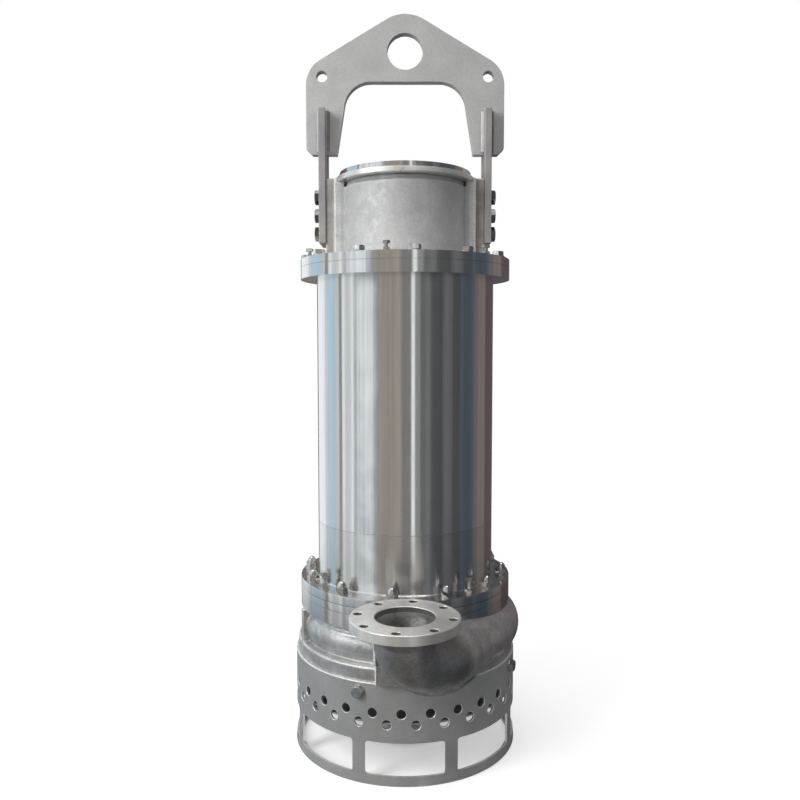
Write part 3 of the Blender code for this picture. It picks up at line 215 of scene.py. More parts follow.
class Solid:
    """A closed mesh in millimetres that can be moved, cut, joined and rounded."""

    def __init__(self, mesh: bmesh.types.BMesh) -> None:
        """Keep the mesh with its faces turned outwards."""
        bmesh.ops.recalc_face_normals(mesh, faces=mesh.faces)
        self.mesh = mesh

    @classmethod
    def turned(cls, profile: Outline, steps: int = ROUND_STEPS) -> "Solid":
        """Turn a closed profile of (radius, height) points about the shaft line.

        Args:
            profile: Points in order.
            steps: Number of faces round the turn.

        Returns:
            The solid.
        """
        mesh = bmesh.new()
        rings = []
        for radius, height in profile:
            if radius <= 1e-6:
                rings.append([mesh.verts.new((0.0, 0.0, height))])
                continue
            angles = [2.0 * math.pi * step / steps for step in range(steps)]
            points = [(radius * math.cos(a), radius * math.sin(a), height) for a in angles]
            rings.append([mesh.verts.new(point) for point in points])
        for ring, following in zip(rings, rings[1:] + rings[:1]):
            for step in range(steps):
                other = (step + 1) % steps
                corners = [
                    ring[step % len(ring)],
                    ring[other % len(ring)],
                    following[other % len(following)],
                    following[step % len(following)],
                ]
                corners = list(dict.fromkeys(corners))
                if len(corners) > 2:
                    mesh.faces.new(corners)
        return cls(mesh)

    @classmethod
    def lofted(cls, loops: list[list[Vector]]) -> "Solid":
        """Join equal loops of points and close both ends.

        Args:
            loops: Loops with the same number of points.

        Returns:
            The solid.
        """
        mesh = bmesh.new()
        rings = [[mesh.verts.new(point) for point in loop] for loop in loops]
        count = len(rings[0])
        for ring, following in zip(rings, rings[1:]):
            for step in range(count):
                other = (step + 1) % count
                mesh.faces.new((ring[step], ring[other], following[other], following[step]))
        mesh.faces.new(list(reversed(rings[0])))
        mesh.faces.new(rings[-1])
        return cls(mesh)

    @classmethod
    def extruded(cls, outline: Outline, low: float, high: float, axis: Axis) -> "Solid":
        """Extrude a flat outline between two levels of one axis.

        Args:
            outline: Points in order.
            low: First level.
            high: Second level.
            axis: Direction of the extrusion.

        Returns:
            The solid.
        """
        loops = []
        for level in (low, high):
            if axis is Axis.X:
                loops.append([Vector((level, u, v)) for u, v in outline])
            elif axis is Axis.Y:
                loops.append([Vector((u, level, v)) for u, v in outline])
            else:
                loops.append([Vector((u, v, level)) for u, v in outline])
        return cls.lofted(loops)

    @classmethod
    def block(cls, x: Span, y: Span, z: Span) -> "Solid":
        """Return a rectangular block from its spans."""
        outline = [(x[0], y[0]), (x[1], y[0]), (x[1], y[1]), (x[0], y[1])]
        return cls.extruded(outline, z[0], z[1], Axis.Z)

    @classmethod
    def rod(cls, radius: float, low: float, high: float, steps: int = 48) -> "Solid":
        """Return a round bar about +Z."""
        return cls.turned([(0.0, low), (radius, low), (radius, high), (0.0, high)], steps)

    @classmethod
    def ring(cls, bore: float, radius: float, span: Span, edge: float, steps: int = 256) -> "Solid":
        """Return a flat ring with broken edges, or a disc where the bore is zero.

        Args:
            bore: Inner radius.
            radius: Outer radius.
            span: Lowest and highest level.
            edge: Rounding of the edges.
            steps: Number of faces round the ring.

        Returns:
            The solid.
        """
        low, high = span
        profile = [(bore, low), (radius, low), (radius, high), (bore, high)]
        return cls.turned(softened(profile, edge, 2), steps)

    def moved(self, matrix: Matrix) -> "Solid":
        """Move the solid by a matrix and return it."""
        bmesh.ops.transform(self.mesh, matrix=matrix, verts=self.mesh.verts)
        return self

    def beside(self, others: list["Solid"]) -> "Solid":
        """Take the shells of other solids into this one without joining their surfaces.

        Args:
            others: Solids that are used up.

        Returns:
            This solid.
        """
        for other in others:
            helper = bpy.data.meshes.new("helper")
            other.mesh.to_mesh(helper)
            other.mesh.free()
            self.mesh.from_mesh(helper)
            bpy.data.meshes.remove(helper)
        return self

    def rounded(self, width: float, segments: int = 2, angle: float = 35.0) -> "Solid":
        """Round the edges that are sharper than an angle.

        Args:
            width: Width of the rounding in millimetres.
            segments: Number of faces across the rounding.
            angle: Smallest angle between faces that is rounded, in degrees.

        Returns:
            This solid.
        """
        limit = math.radians(angle)
        edges = [
            edge
            for edge in self.mesh.edges
            if len(edge.link_faces) == 2 and edge.calc_face_angle(0.0) > limit
        ]
        bmesh.ops.bevel(
            self.mesh,
            geom=edges,
            offset=width,
            offset_type="OFFSET",
            segments=segments,
            profile=0.5,
            affect="EDGES",
            clamp_overlap=True,
        )
        return self

    def combined(self, tools: list["Solid"], operation: Operation) -> "Solid":
        """Cut other solids away, or keep what lies inside them.

        Args:
            tools: Solids that are used up.
            operation: What they do to this one.

        Returns:
            This solid.
        """
        tool = tools[0].beside(tools[1:]) if len(tools) > 1 else tools[0]
        current = helper_object(self.mesh)
        other = helper_object(tool.mesh)
        modifier = current.modifiers.new("combine", "BOOLEAN")
        modifier.operation = operation.value
        modifier.solver = "EXACT"
        modifier.object = other
        self.mesh = evaluated(current)
        bpy.data.objects.remove(other, do_unlink=True)
        bmesh.ops.remove_doubles(self.mesh, verts=self.mesh.verts, dist=0.002)
        bmesh.ops.dissolve_degenerate(self.mesh, edges=self.mesh.edges, dist=0.002)
        return self

    def cast(self, voxel: float, rounds: int) -> "Solid":
        """Melt all shells into one skin with rounded corners, as a casting has.

        Args:
            voxel: Size of the faces of the new skin in millimetres.
            rounds: How often the skin is smoothed; more rounds give larger fillets.

        Returns:
            This solid.
        """
        current = helper_object(self.mesh)
        remesh = current.modifiers.new("melt", "REMESH")
        remesh.mode = "VOXEL"
        remesh.voxel_size = voxel
        smooth = current.modifiers.new("smooth", "SMOOTH")
        smooth.factor = 0.5
        smooth.iterations = rounds
        self.mesh = evaluated(current)
        return self


def linked(name: str, data: bpy.types.ID) -> bpy.types.Object:
    """Return a new object of the scene that shows the data.

    Args:
        name: Name of the object.
        data: Mesh, lamp or camera data.

    Returns:
        The object.
    """
    item = bpy.data.objects.new(name, data)
    bpy.context.scene.collection.objects.link(item)
    return item


def helper_object(mesh: bmesh.types.BMesh) -> bpy.types.Object:
    """Put a mesh into a hidden object for a modifier, and free the mesh.

    Args:
        mesh: Mesh that is used up.

    Returns:
        The hidden object.
    """
    bmesh.ops.recalc_face_normals(mesh, faces=mesh.faces)
    data = bpy.data.meshes.new("helper")
    mesh.to_mesh(data)
    mesh.free()
    item = linked("helper", data)
    item.hide_render = True
    return item


def evaluated(item: bpy.types.Object) -> bmesh.types.BMesh:
    """Return a helper object's mesh with its modifiers applied, and remove the object.

    Args:
        item: Object that is used up.

    Returns:
        The changed mesh.
    """
    depsgraph = bpy.context.evaluated_depsgraph_get()
    data = bpy.data.meshes.new_from_object(item.evaluated_get(depsgraph))
    mesh = bmesh.new()
    mesh.from_mesh(data)
    bpy.data.objects.remove(item, do_unlink=True)
    bpy.data.meshes.remove(data)
    return mesh


class Graph:
    """Short calls that lay out the shader nodes of one material."""

    def __init__(self, name: str) -> None:
        """Start a material with its Principled shader and the place on the object.

        Args:
            name: Name of the material.
        """
        self.material = bpy.data.materials.new(name)
        self.material.use_nodes = True
        self.nodes = self.material.node_tree.nodes
        self.links = self.material.node_tree.links
        self.shader = self.nodes["Principled BSDF"]
        self.place = self.nodes.new("ShaderNodeTexCoord").outputs["Object"]

    def join(self, value: object, socket: bpy.types.NodeSocket) -> None:
        """Link an output to a socket, or write a plain value to it.

        Args:
            value: Output or plain value.
            socket: Input that takes it.
        """
        if isinstance(value, bpy.types.NodeSocket):
            self.links.new(value, socket)
        else:
            socket.default_value = value

    def math(self, operation: str, first: object, second: object = 0.0) -> bpy.types.NodeSocket:
        """Return the result of a Math node.

        Args:
            operation: Name of the sum.
            first: First value.
            second: Second value.

        Returns:
            The result.
        """
        node = self.nodes.new("ShaderNodeMath")
        node.operation = operation
        self.join(first, node.inputs[0])
        self.join(second, node.inputs[1])
        return node.outputs[0]

    def parts(self) -> tuple[bpy.types.NodeSocket, ...]:
        """Return the place on the object as x, y and z.

        Returns:
            The three values.
        """
        node = self.nodes.new("ShaderNodeSeparateXYZ")
        self.links.new(self.place, node.inputs[0])
        return tuple(node.outputs)

    def vector(self, x: object, y: object, z: object) -> bpy.types.NodeSocket:
        """Return a vector made of three values.

        Args:
            x: First value.
            y: Second value.
            z: Third value.

        Returns:
            The vector.
        """
        node = self.nodes.new("ShaderNodeCombineXYZ")
        for value, socket in zip((x, y, z), node.inputs):
            self.join(value, socket)
        return node.outputs[0]

    def round_the_axis(self, rise: float) -> bpy.types.NodeSocket:
        """Return a vector that changes round the shaft line and hardly along it.

        Args:
            rise: How much of the height is kept.

        Returns:
            The vector.
        """
        x, y, z = self.parts()
        flat = self.nodes.new("ShaderNodeVectorMath")
        flat.operation = "NORMALIZE"
        self.links.new(self.vector(x, y, 0.0), flat.inputs[0])
        split = self.nodes.new("ShaderNodeSeparateXYZ")
        self.links.new(flat.outputs[0], split.inputs[0])
        return self.vector(split.outputs[0], split.outputs[1], self.math("MULTIPLY", z, rise))

    def radius(self) -> bpy.types.NodeSocket:
        """Return the distance from the shaft line.

        Returns:
            The distance in metres.
        """
        x, y, _ = self.parts()
        square = self.math("ADD", self.math("MULTIPLY", x, x), self.math("MULTIPLY", y, y))
        return self.math("SQRT", square)

    def across_grooves(self) -> bpy.types.NodeSocket:
        """Return a vector that changes only with the radius and the height."""
        return self.vector(self.radius(), self.parts()[2], 0.0)

    def noise(
        self,
        size: float,
        detail: float = 4.0,
        roughness: float = 0.55,
        place: bpy.types.NodeSocket | None = None,
        distortion: float = 0.0,
    ) -> bpy.types.NodeSocket:
        """Return noise whose blotches have a size in millimetres.

        Args:
            size: Size of a blotch.
            detail: Number of finer layers.
            roughness: Weight of the finer layers.
            place: Vector to use for the place.
            distortion: How far the blotches are bent.

        Returns:
            The value.
        """
        node = self.nodes.new("ShaderNodeTexNoise")
        self.links.new(self.place if place is None else place, node.inputs["Vector"])
        node.inputs["Scale"].default_value = 1.0 / (size * MM)
        node.inputs["Detail"].default_value = detail
        node.inputs["Roughness"].default_value = roughness
        node.inputs["Distortion"].default_value = distortion
        return node.outputs["Fac"]

    def pits(self, size: float) -> bpy.types.NodeSocket:
        """Return a cell pattern whose cells have a size in millimetres.

        Args:
            size: Size of a cell.

        Returns:
            The value.
        """
        node = self.nodes.new("ShaderNodeTexVoronoi")
        self.links.new(self.place, node.inputs["Vector"])
        node.inputs["Scale"].default_value = 1.0 / (size * MM)
        return node.outputs["Distance"]

    def ramp(
        self, value: object, start: Span, result: Span, smooth: bool = False
    ) -> bpy.types.NodeSocket:
        """Return the value moved from one range to another.

        Args:
            value: Value to move.
            start: Range that it comes from.
            result: Range that it goes to.
            smooth: Whether the ends are eased.

        Returns:
            The moved value.
        """
        node = self.nodes.new("ShaderNodeMapRange")
        if smooth:
            node.interpolation_type = "SMOOTHSTEP"
        self.join(value, node.inputs["Value"])
        node.inputs["From Min"].default_value, node.inputs["From Max"].default_value = start
        node.inputs["To Min"].default_value, node.inputs["To Max"].default_value = result
        return node.outputs["Result"]

    def spread(self, value: object, low: float, high: float) -> bpy.types.NodeSocket:
        """Stretch the middle range of a noise to run from low to high."""
        return self.ramp(value, NOISE_MIDDLE, (low, high))

    def shaded(self, colour: object, light: object) -> bpy.types.NodeSocket:
        """Return a colour made lighter or darker by a factor."""
        return self.blend(1.0, colour, self.vector(light, light, light), "MULTIPLY")

    def blend(
        self, share: object, first: object, second: object, mode: str = "MIX"
    ) -> bpy.types.NodeSocket:
        """Return the blend of two colours.

        Args:
            share: Share of the second colour.
            first: First colour.
            second: Second colour.
            mode: Way of blending.

        Returns:
            The colour.
        """
        node = self.nodes.new("ShaderNodeMix")
        node.data_type = "RGBA"
        node.blend_type = mode
        self.join(share, node.inputs["Factor"])
        self.join(self.full(first), node.inputs[6])
        self.join(self.full(second), node.inputs[7])
        return node.outputs[2]

    @staticmethod
    def full(colour: object) -> object:
        """Give a plain colour its fourth value."""
        return (*colour, 1.0) if isinstance(colour, tuple) and len(colour) == 3 else colour

    def bump(
        self, height: object, depth: float, before: bpy.types.NodeSocket | None = None
    ) -> bpy.types.NodeSocket:
        """Return a normal bent by a height pattern that is so many millimetres deep.

        Args:
            height: Pattern of heights.
            depth: Depth in millimetres.
            before: Normal that is bent already.

        Returns:
            The normal.
        """
        node = self.nodes.new("ShaderNodeBump")
        node.inputs["Strength"].default_value = 1.0
        node.inputs["Distance"].default_value = depth * MM
        self.join(height, node.inputs["Height"])
        if before is not None:
            self.links.new(before, node.inputs["Normal"])
        return node.outputs["Normal"]

    def nearness(
        self, centre: tuple[float, float, float], reach: Span, near: float
    ) -> bpy.types.NodeSocket:
        """Return a value that is near at a spot in millimetres and rises to one away from it.

        Args:
            centre: The spot.
            reach: Distances where the rise begins and ends.
            near: Value at the spot.

        Returns:
            The value.
        """
        distance = self.nodes.new("ShaderNodeVectorMath")
        distance.operation = "DISTANCE"
        self.links.new(self.place, distance.inputs[0])
        distance.inputs[1].default_value = Vector(centre) * MM
        start = (reach[0] * MM, reach[1] * MM)
        return self.ramp(distance.outputs["Value"], start, (near, 1.0), True)

    def glow(self, colour: Colour, strength: bpy.types.NodeSocket) -> bpy.types.NodeSocket:
        """Return a shader that gives off light of one colour.

        Args:
            colour: Colour of the light.
            strength: Its strength.

        Returns:
            The shader.
        """
        node = self.nodes.new("ShaderNodeEmission")
        node.inputs["Color"].default_value = (*colour, 1.0)
        self.links.new(strength, node.inputs["Strength"])
        return node.outputs[0]

    def crevices(self) -> bpy.types.NodeSocket:
        """Return a value that is high on ridges and low in corners."""
        node = self.nodes.new("ShaderNodeNewGeometry")
        return node.outputs["Pointiness"]


MADE: dict[str, bpy.types.Material] = {}


@dataclass(frozen=True)
class Finish:
    """What every finish has: its name, slot, two colours and its gloss."""

    name: str
    slot: Slot
    colour: Colour
    second: Colour
    roughness: float = 0.4
    metallic: float = 1.0

    def material(self) -> bpy.types.Material:
        """Return the finish's material, made once.

        Returns:
            The material.
        """
        if self.name not in MADE:
            graph = Graph(self.name)
            graph.shader.inputs["Metallic"].default_value = self.metallic
            self.paint(graph)
            MADE[self.name] = graph.material
        return MADE[self.name]

    def paint(self, graph: Graph) -> None:
        """Lay out the finish's own nodes.

        Args:
            graph: Node layout of the material.
        """
        raise NotImplementedError


@dataclass(frozen=True)
class TurnedFinish(Finish):
    """Steel turned on a lathe: streaks along the shaft line and fine grooves round it."""

    warm: Colour = (0.70, 0.66, 0.60)
    anisotropy: float = 0.7
    streak: float = 0.09
    groove: float = 0.7

    def paint(self, graph: Graph) -> None:
        """Lay out streaks, tinted bands, grooves and smudges.

        Args:
            graph: Node layout of the material.
        """
        round_about = graph.round_the_axis(0.12)
        fine = graph.noise(self.streak * 1000.0, 6.0, 0.75, round_about)
        bands = graph.noise(self.streak * 5200.0, 3.0, 0.6, round_about, 0.4)
        tints = graph.noise(self.streak * 7600.0, 2.0, 0.5, round_about)
        colour = graph.blend(graph.spread(fine, 0.0, 1.0), self.colour, self.second)
        shade = graph.spread(bands, 0.0, 0.6)
        colour = graph.blend(shade, colour, self.second)
        colour = graph.blend(graph.spread(tints, 0.0, 0.5), colour, self.warm)
        graph.join(colour, graph.shader.inputs["Base Color"])
        grooves = graph.noise(self.groove, 2.0, 0.6, graph.across_grooves())
        smudge = graph.noise(60.0, 5.0, 0.6)
        gloss = graph.math(
            "ADD",
            graph.spread(smudge, self.roughness * 0.8, self.roughness * 1.3),
            graph.spread(grooves, -0.02, 0.03),
        )
        graph.join(gloss, graph.shader.inputs["Roughness"])
        graph.join(graph.bump(grooves, 0.006), graph.shader.inputs["Normal"])
        graph.shader.inputs["Anisotropic"].default_value = self.anisotropy
        graph.shader.inputs["Anisotropic Rotation"].default_value = 0.25


@dataclass(frozen=True)
class CastFinish(Finish):
    """Cast steel: sand grain, shallow pits, stains, painted shade in corners, rubbed ridges and an
    optional painted shade spot.
    """

    stain: Colour = (0.30, 0.24, 0.19)
    stain_share: float = 0.5
    grain: float = 2.2
    grain_depth: float = 0.35
    wave_depth: float = 0.9
    ridge: Span = (0.44, 0.56)
    crease_shade_ridge_wear: Span = (0.55, 1.35)
    painted_shade_spot: tuple[float, float, float] | None = None
    painted_shade_reach: Span = (135.0, 195.0)
    painted_shade_factor: float = 0.56

    def paint(self, graph: Graph) -> None:
        """Lay out mottled colour, stains, painted shade in corners with wear on ridges, an optional
        painted shade spot and three sizes of unevenness.

        Args:
            graph: Node layout of the material.
        """
        cloud = graph.noise(55.0, 6.0, 0.62, distortion=0.3)
        speck = graph.noise(self.grain * 1.6, 3.0, 0.6)
        patches = graph.noise(95.0, 5.0, 0.6, distortion=0.8)
        colour = graph.blend(graph.spread(cloud, 0.0, 1.0), self.colour, self.second)
        colour = graph.blend(graph.spread(patches, -0.4, self.stain_share), colour, self.stain)
        colour = graph.shaded(colour, graph.spread(speck, 0.82, 1.14))
        # Painted shade: corners are darkened down to 0.55 of the colour, while ridges are lightened
        # up to 1.35 as rubbed wear.
        shade_and_wear = graph.ramp(graph.crevices(), self.ridge, self.crease_shade_ridge_wear)
        # Painted shade: the colour round one fixed spot on the casting is multiplied darker.
        if self.painted_shade_spot is not None:
            painted_shade_spot = graph.nearness(self.painted_shade_spot, self.painted_shade_reach, self.painted_shade_factor)
            shade_and_wear = graph.math("MULTIPLY", shade_and_wear, painted_shade_spot)
        graph.join(graph.shaded(colour, shade_and_wear), graph.shader.inputs["Base Color"])
        gloss = graph.spread(graph.noise(18.0, 5.0), self.roughness * 0.8, self.roughness * 1.25)
        graph.join(gloss, graph.shader.inputs["Roughness"])
        grain = graph.noise(self.grain, 4.0, 0.65)
        normal = graph.bump(graph.noise(24.0, 4.0, 0.5), self.wave_depth)
        normal = graph.bump(grain, self.grain_depth, normal)
        normal = graph.bump(graph.pits(self.grain * 1.7), 0.12, normal)
        graph.join(normal, graph.shader.inputs["Normal"])


@dataclass(frozen=True)
class PlateFinish(Finish):
    """Rolled or blasted plate: fine even grain, faint clouds and light scratches."""

    grain: float = 1.2
    grain_depth: float = 0.05
    cloud: float = 120.0

    def paint(self, graph: Graph) -> None:
        """Lay out clouds, speckle and stretched scratches.

        Args:
            graph: Node layout of the material.
        """
        clouds = graph.noise(self.cloud, 5.0, 0.6, distortion=0.5)
        speck = graph.noise(self.grain * 1.8, 2.0, 0.7)
        colour = graph.blend(graph.spread(clouds, 0.0, 1.0), self.colour, self.second)
        colour = graph.shaded(colour, graph.spread(speck, 0.90, 1.09))
        graph.join(colour, graph.shader.inputs["Base Color"])
        x, y, z = graph.parts()
        leaning = graph.vector(
            graph.math("ADD", x, graph.math("MULTIPLY", z, 0.35)),
            y,
            graph.math("MULTIPLY", z, 0.05),
        )
        scratches = graph.noise(1.4, 3.0, 0.7, leaning)
        gloss = graph.math(
            "ADD",
            graph.spread(graph.noise(26.0, 5.0), self.roughness * 0.85, self.roughness * 1.2),
            graph.spread(scratches, -0.04, 0.05),
        )
        graph.join(gloss, graph.shader.inputs["Roughness"])
        normal = graph.bump(graph.noise(self.grain, 3.0, 0.6), self.grain_depth)
        graph.join(graph.bump(scratches, 0.01, normal), graph.shader.inputs["Normal"])


@dataclass(frozen=True)
class LayeredFinish(Finish):
    """Stacked laminations or wound wire: thin layers along the shaft line."""

    layer: float = 2.0

    def paint(self, graph: Graph) -> None:
        """Lay out thin light and dark layers.

        Args:
            graph: Node layout of the material.
        """
        _, _, z = graph.parts()
        wave = graph.math("SINE", graph.math("MULTIPLY", z, 2.0 * math.pi / (self.layer * MM)))
        share = graph.math("MULTIPLY", graph.math("ADD", wave, 1.0), 0.5)
        graph.join(graph.blend(share, self.colour, self.second), graph.shader.inputs["Base Color"])
        graph.shader.inputs["Roughness"].default_value = self.roughness
        graph.join(graph.bump(share, 0.2), graph.shader.inputs["Normal"])


POLISHED = TurnedFinish(
    "polished_turned_steel", Slot.TURNED, (0.82, 0.82, 0.825), (0.66, 0.665, 0.675), 0.15,
    anisotropy=1.0, streak=0.035,
)
POLISHED_LOWER = TurnedFinish(
    "polished_lower_band", Slot.TURNED, (0.75, 0.75, 0.755), (0.59, 0.595, 0.60), 0.18,
    anisotropy=1.0, streak=0.035,
)
MACHINED_FACE = TurnedFinish(
    "machined_face", Slot.CAST, (0.92, 0.915, 0.90), (0.70, 0.695, 0.68), 0.34, 0.72,
    anisotropy=0.45, streak=0.2, groove=1.4,
)
# Painted shade for the walls inside the discharge bore and its bolt holes.
BORE_PAINTED_SHADE = CastFinish(
    "bore_painted_shade", Slot.CAST, (0.30, 0.295, 0.285), (0.16, 0.155, 0.15), 0.4, 0.8,
    stain_share=0.3, grain=3.0, grain_depth=0.5, wave_depth=0.6,
)
CAST_SCROLL = CastFinish(
    "cast_scroll", Slot.CAST, (0.74, 0.74, 0.735), (0.46, 0.46, 0.46), 0.34, 0.8,
    stain=(0.44, 0.38, 0.32), stain_share=0.45, grain=3.2, grain_depth=0.7, wave_depth=1.3,
    # Painted shade darkens the elbow round this spot.
    painted_shade_spot=(45.0, -490.0, 370.0),
)
CAST_HOUSING = CastFinish(
    "cast_housing", Slot.HOUSING, (0.53, 0.535, 0.53), (0.43, 0.435, 0.43), 0.62, 0.3,
    stain=(0.44, 0.43, 0.41), stain_share=0.25, grain=1.8, grain_depth=0.4, wave_depth=0.1,
)
HOUSING_PAD = CastFinish(
    "housing_pad", Slot.HOUSING, (0.66, 0.66, 0.65), (0.50, 0.50, 0.49), 0.5, 0.35,
    stain=(0.52, 0.51, 0.49), stain_share=0.25, grain=2.4, grain_depth=0.5, wave_depth=0.1,
)
HOUSING_BOSS = CastFinish(
    "housing_boss", Slot.HOUSING, (0.46, 0.435, 0.41), (0.27, 0.25, 0.235), 0.5, 0.35,
    stain=(0.22, 0.18, 0.15), stain_share=0.6, grain=1.8, grain_depth=0.3, wave_depth=0.2,
)
BLASTED_PLATE = PlateFinish(
    "blasted_plate", Slot.PLATE, (0.50, 0.50, 0.495), (0.44, 0.44, 0.435), 0.5, 0.3,
    grain=1.8, grain_depth=0.12, cloud=60.0,
)
WELD_METAL = PlateFinish(
    "weld_metal", Slot.PLATE, (0.52, 0.51, 0.49), (0.36, 0.35, 0.36), 0.34, 0.95, grain=2.4
)
BAR_STEEL = PlateFinish(
    "bar_steel", Slot.PLATE, (0.40, 0.385, 0.37), (0.29, 0.275, 0.29), 0.42, 0.3
)
BRIGHT_FASTENER = PlateFinish(
    "bright_fastener", Slot.FASTENER, (0.80, 0.785, 0.76), (0.55, 0.53, 0.51), 0.16,
    grain=0.9, grain_depth=0.01, cloud=14.0,
)
DARK_FASTENER = PlateFinish(
    "dark_fastener", Slot.FASTENER, (0.24, 0.235, 0.23), (0.10, 0.10, 0.10), 0.24,
    grain=0.9, grain_depth=0.01, cloud=9.0,
)
SATIN_SHEET = PlateFinish(
    "satin_sheet", Slot.SHEET, (0.41, 0.41, 0.41), (0.34, 0.34, 0.34), 0.45, 0.45, grain=1.6
)
# Bright finish for cut edges, hole rims, window ledges and the parting seam: bare metal, painted
# brighter as a highlight.
CUT_EDGE_PAINTED_HIGHLIGHT = PlateFinish(
    "cut_edge_painted_highlight", Slot.SHEET, (0.92, 0.92, 0.91), (0.74, 0.74, 0.73), 0.28, 0.4,
    grain=0.8, grain_depth=0.03,
)
HARD_IRON = CastFinish(
    "hard_iron", Slot.HARD_IRON, (0.30, 0.30, 0.31), (0.20, 0.20, 0.21), 0.5, 0.85
)
LAMINATIONS = LayeredFinish(
    "laminated_core", Slot.LAMINATIONS, (0.34, 0.35, 0.37), (0.20, 0.21, 0.22), 0.5
)
SEAL_CARBON = PlateFinish(
    "seal_carbon", Slot.SEAL, (0.08, 0.08, 0.085), (0.12, 0.12, 0.125), 0.3, 0.0
)
GLAND_RUBBER = PlateFinish(
    "gland_rubber", Slot.SEAL, (0.03, 0.03, 0.032), (0.05, 0.05, 0.05), 0.7, 0.0
)


def tidy_normals(data: bpy.types.Mesh, angle: float) -> None:
    """Shade a mesh smoothly and leave its edges beyond an angle sharp.

    Args:
        data: Mesh to shade.
        angle: Limit in degrees.
    """
    mesh = bmesh.new()
    mesh.from_mesh(data)
    limit = math.radians(angle)
    for face in mesh.faces:
        face.smooth = True
    for edge in mesh.edges:
        edge.smooth = len(edge.link_faces) == 2 and edge.calc_face_angle(0.0) < limit
    mesh.to_mesh(data)
    mesh.free()


def mesh_data(name: str, solid: Solid, angle: float = SHARP_ANGLE) -> bpy.types.Mesh:
    """Turn a solid into mesh data in metres.

    Args:
        name: Name of the data.
        solid: Solid that is used up.
        angle: Limit of smooth edges in degrees.

    Returns:
        The mesh.
    """
    bmesh.ops.scale(solid.mesh, vec=(MM, MM, MM), verts=solid.mesh.verts)
    bmesh.ops.recalc_face_normals(solid.mesh, faces=solid.mesh.faces)
    data = bpy.data.meshes.new(name)
    solid.mesh.to_mesh(data)
    solid.mesh.free()
    tidy_normals(data, angle)
    return data


def placed(
    name: str,
    data: bpy.types.Mesh,
    finish: Finish,
    body: Body = Body.PUMP,
    nodes: tuple[str, ...] = (),
    where: Matrix | None = None,
    weighted: bool = True,
) -> bpy.types.Object:
    """Put mesh data on the shaft line as a piece that rides on a body.

    Args:
        name: Name of the piece.
        data: Mesh in metres, measured from the shaft line.
        finish: Finish that gives the material.
        body: Body that the piece rides on.
        nodes: Nodes of the frame that the piece stands for.
        where: Place in millimetres, for a mesh that is shared by several pieces.
        weighted: Whether large faces set the shading of the rounded edges beside them.

    Returns:
        The new object.
    """
    piece = linked(name, data)
    if not data.materials:
        data.materials.append(finish.material())
    spot = Matrix.Translation(SHAFT)
    if where is not None:
        metres = where.copy()
        metres.translation = where.translation * MM
        spot = spot @ metres
    piece.matrix_world = spot
    if weighted:
        modifier = piece.modifiers.new("even shading", "WEIGHTED_NORMAL")
        modifier.keep_sharp = True
    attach(piece, body.value)
    if nodes:
        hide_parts(*nodes)
    LOG.info("%s placed on %s", name, body.value)
    return piece


def made(
    name: str,
    solid: Solid,
    finish: Finish,
    body: Body = Body.PUMP,
    nodes: tuple[str, ...] = (),
    weighted: bool = True,
) -> bpy.types.Object:
    """Place a solid as a piece of its own."""
    return placed(name, mesh_data(name, solid), finish, body, nodes, None, weighted)


@dataclass(frozen=True)
class HexFastener:
    """A hexagon head on a washer, along +Z from the face that it rests on."""

    flats: float
    head: float
    washer_radius: float
    washer: float = 2.6

    def hexagon(self, low: float, high: float) -> Solid:
        """Return a hexagonal block with the ends of its corners turned off.

        Args:
            low: Lower level.
            high: Upper level.

        Returns:
            The block.
        """
        corner = self.flats / math.sqrt(3.0)
        half = self.flats / 2.0
        block = Solid.extruded(arc((0.0, 0.0), corner, 0.0, 300.0, 5), low, high, Axis.Z)
        slope = (corner - half * 0.96) * 0.58
        turned = [
            (0.0, low - 0.01),
            (corner - (corner - half) * 0.7, low - 0.01),
            (corner + 0.2, low + slope * 0.5),
            (corner + 0.2, high - slope),
            (half * 0.96, high + 0.01),
            (0.0, high + 0.01),
        ]
        return block.combined([Solid.turned(turned, 48)], Operation.KEEP)

    def solid(self) -> Solid:
        """Return the washer with the head on it.

        Returns:
            The solid.
        """
        washer = Solid.ring(0.0, self.washer_radius, (0.0, self.washer), 0.6, 48)
        top = self.washer + self.head
        head = self.hexagon(self.washer - 0.4, top)
        return head.beside([washer])


@dataclass(frozen=True)
class DomeNut:
    """A closed nut with a dome, on a washer, along +Z from the flange."""

    flats: float = 30.0
    nut: float = 15.0
    dome: float = 16.0
    washer_radius: float = 19.0
    washer: float = 3.0

    def solid(self) -> Solid:
        """Return washer, hexagon and dome.

        Returns:
            The solid.
        """
        base = HexFastener(self.flats, self.nut, self.washer_radius, self.washer).solid()
        low = self.washer + self.nut - 1.0
        radius = self.flats * 0.435
        foot = radius * 0.93
        profile: Outline = [(0.0, low - 2.0), (foot, low - 2.0), (foot, low + 1.2)]
        height = self.dome - 0.2
        for step in range(11):
            angle = math.radians(6.0 + 84.0 * step / 10)
            profile.append((radius * math.cos(angle), low + 1.0 + height * math.sin(angle)))
        profile[-1] = (0.0, low + 1.0 + height)
        return base.beside([Solid.turned(profile, 48)])


@dataclass(frozen=True)
class JackScrew:
    """A jacking screw: lock nut at the flange, threaded shank and a raised head."""

    shank: float = 8.0
    flats: float = 24.0
    lock_nut: float = 13.0
    free_length: float = 21.0
    head: float = 12.0
    pitch: float = 2.0

    def solid(self) -> Solid:
        """Return nut, thread and head.

        Returns:
            The solid.
        """
        nut = HexFastener(self.flats, self.lock_nut - 2.0, self.flats * 0.6, 2.0)
        top = self.lock_nut + self.free_length
        profile: Outline = [(0.0, self.lock_nut - 3.0)]
        turns = int((self.free_length + 4.0) / self.pitch)
        for turn in range(turns):
            height = self.lock_nut - 3.0 + turn * self.pitch
            profile.append((self.shank * 0.87, height))
            profile.append((self.shank, height + self.pitch * 0.5))
        profile.append((self.shank * 0.87, top + 1.0))
        profile.append((0.0, top + 1.0))
        head = nut.hexagon(top, top + self.head)
        return nut.solid().beside([Solid.turned(profile, 32), head])


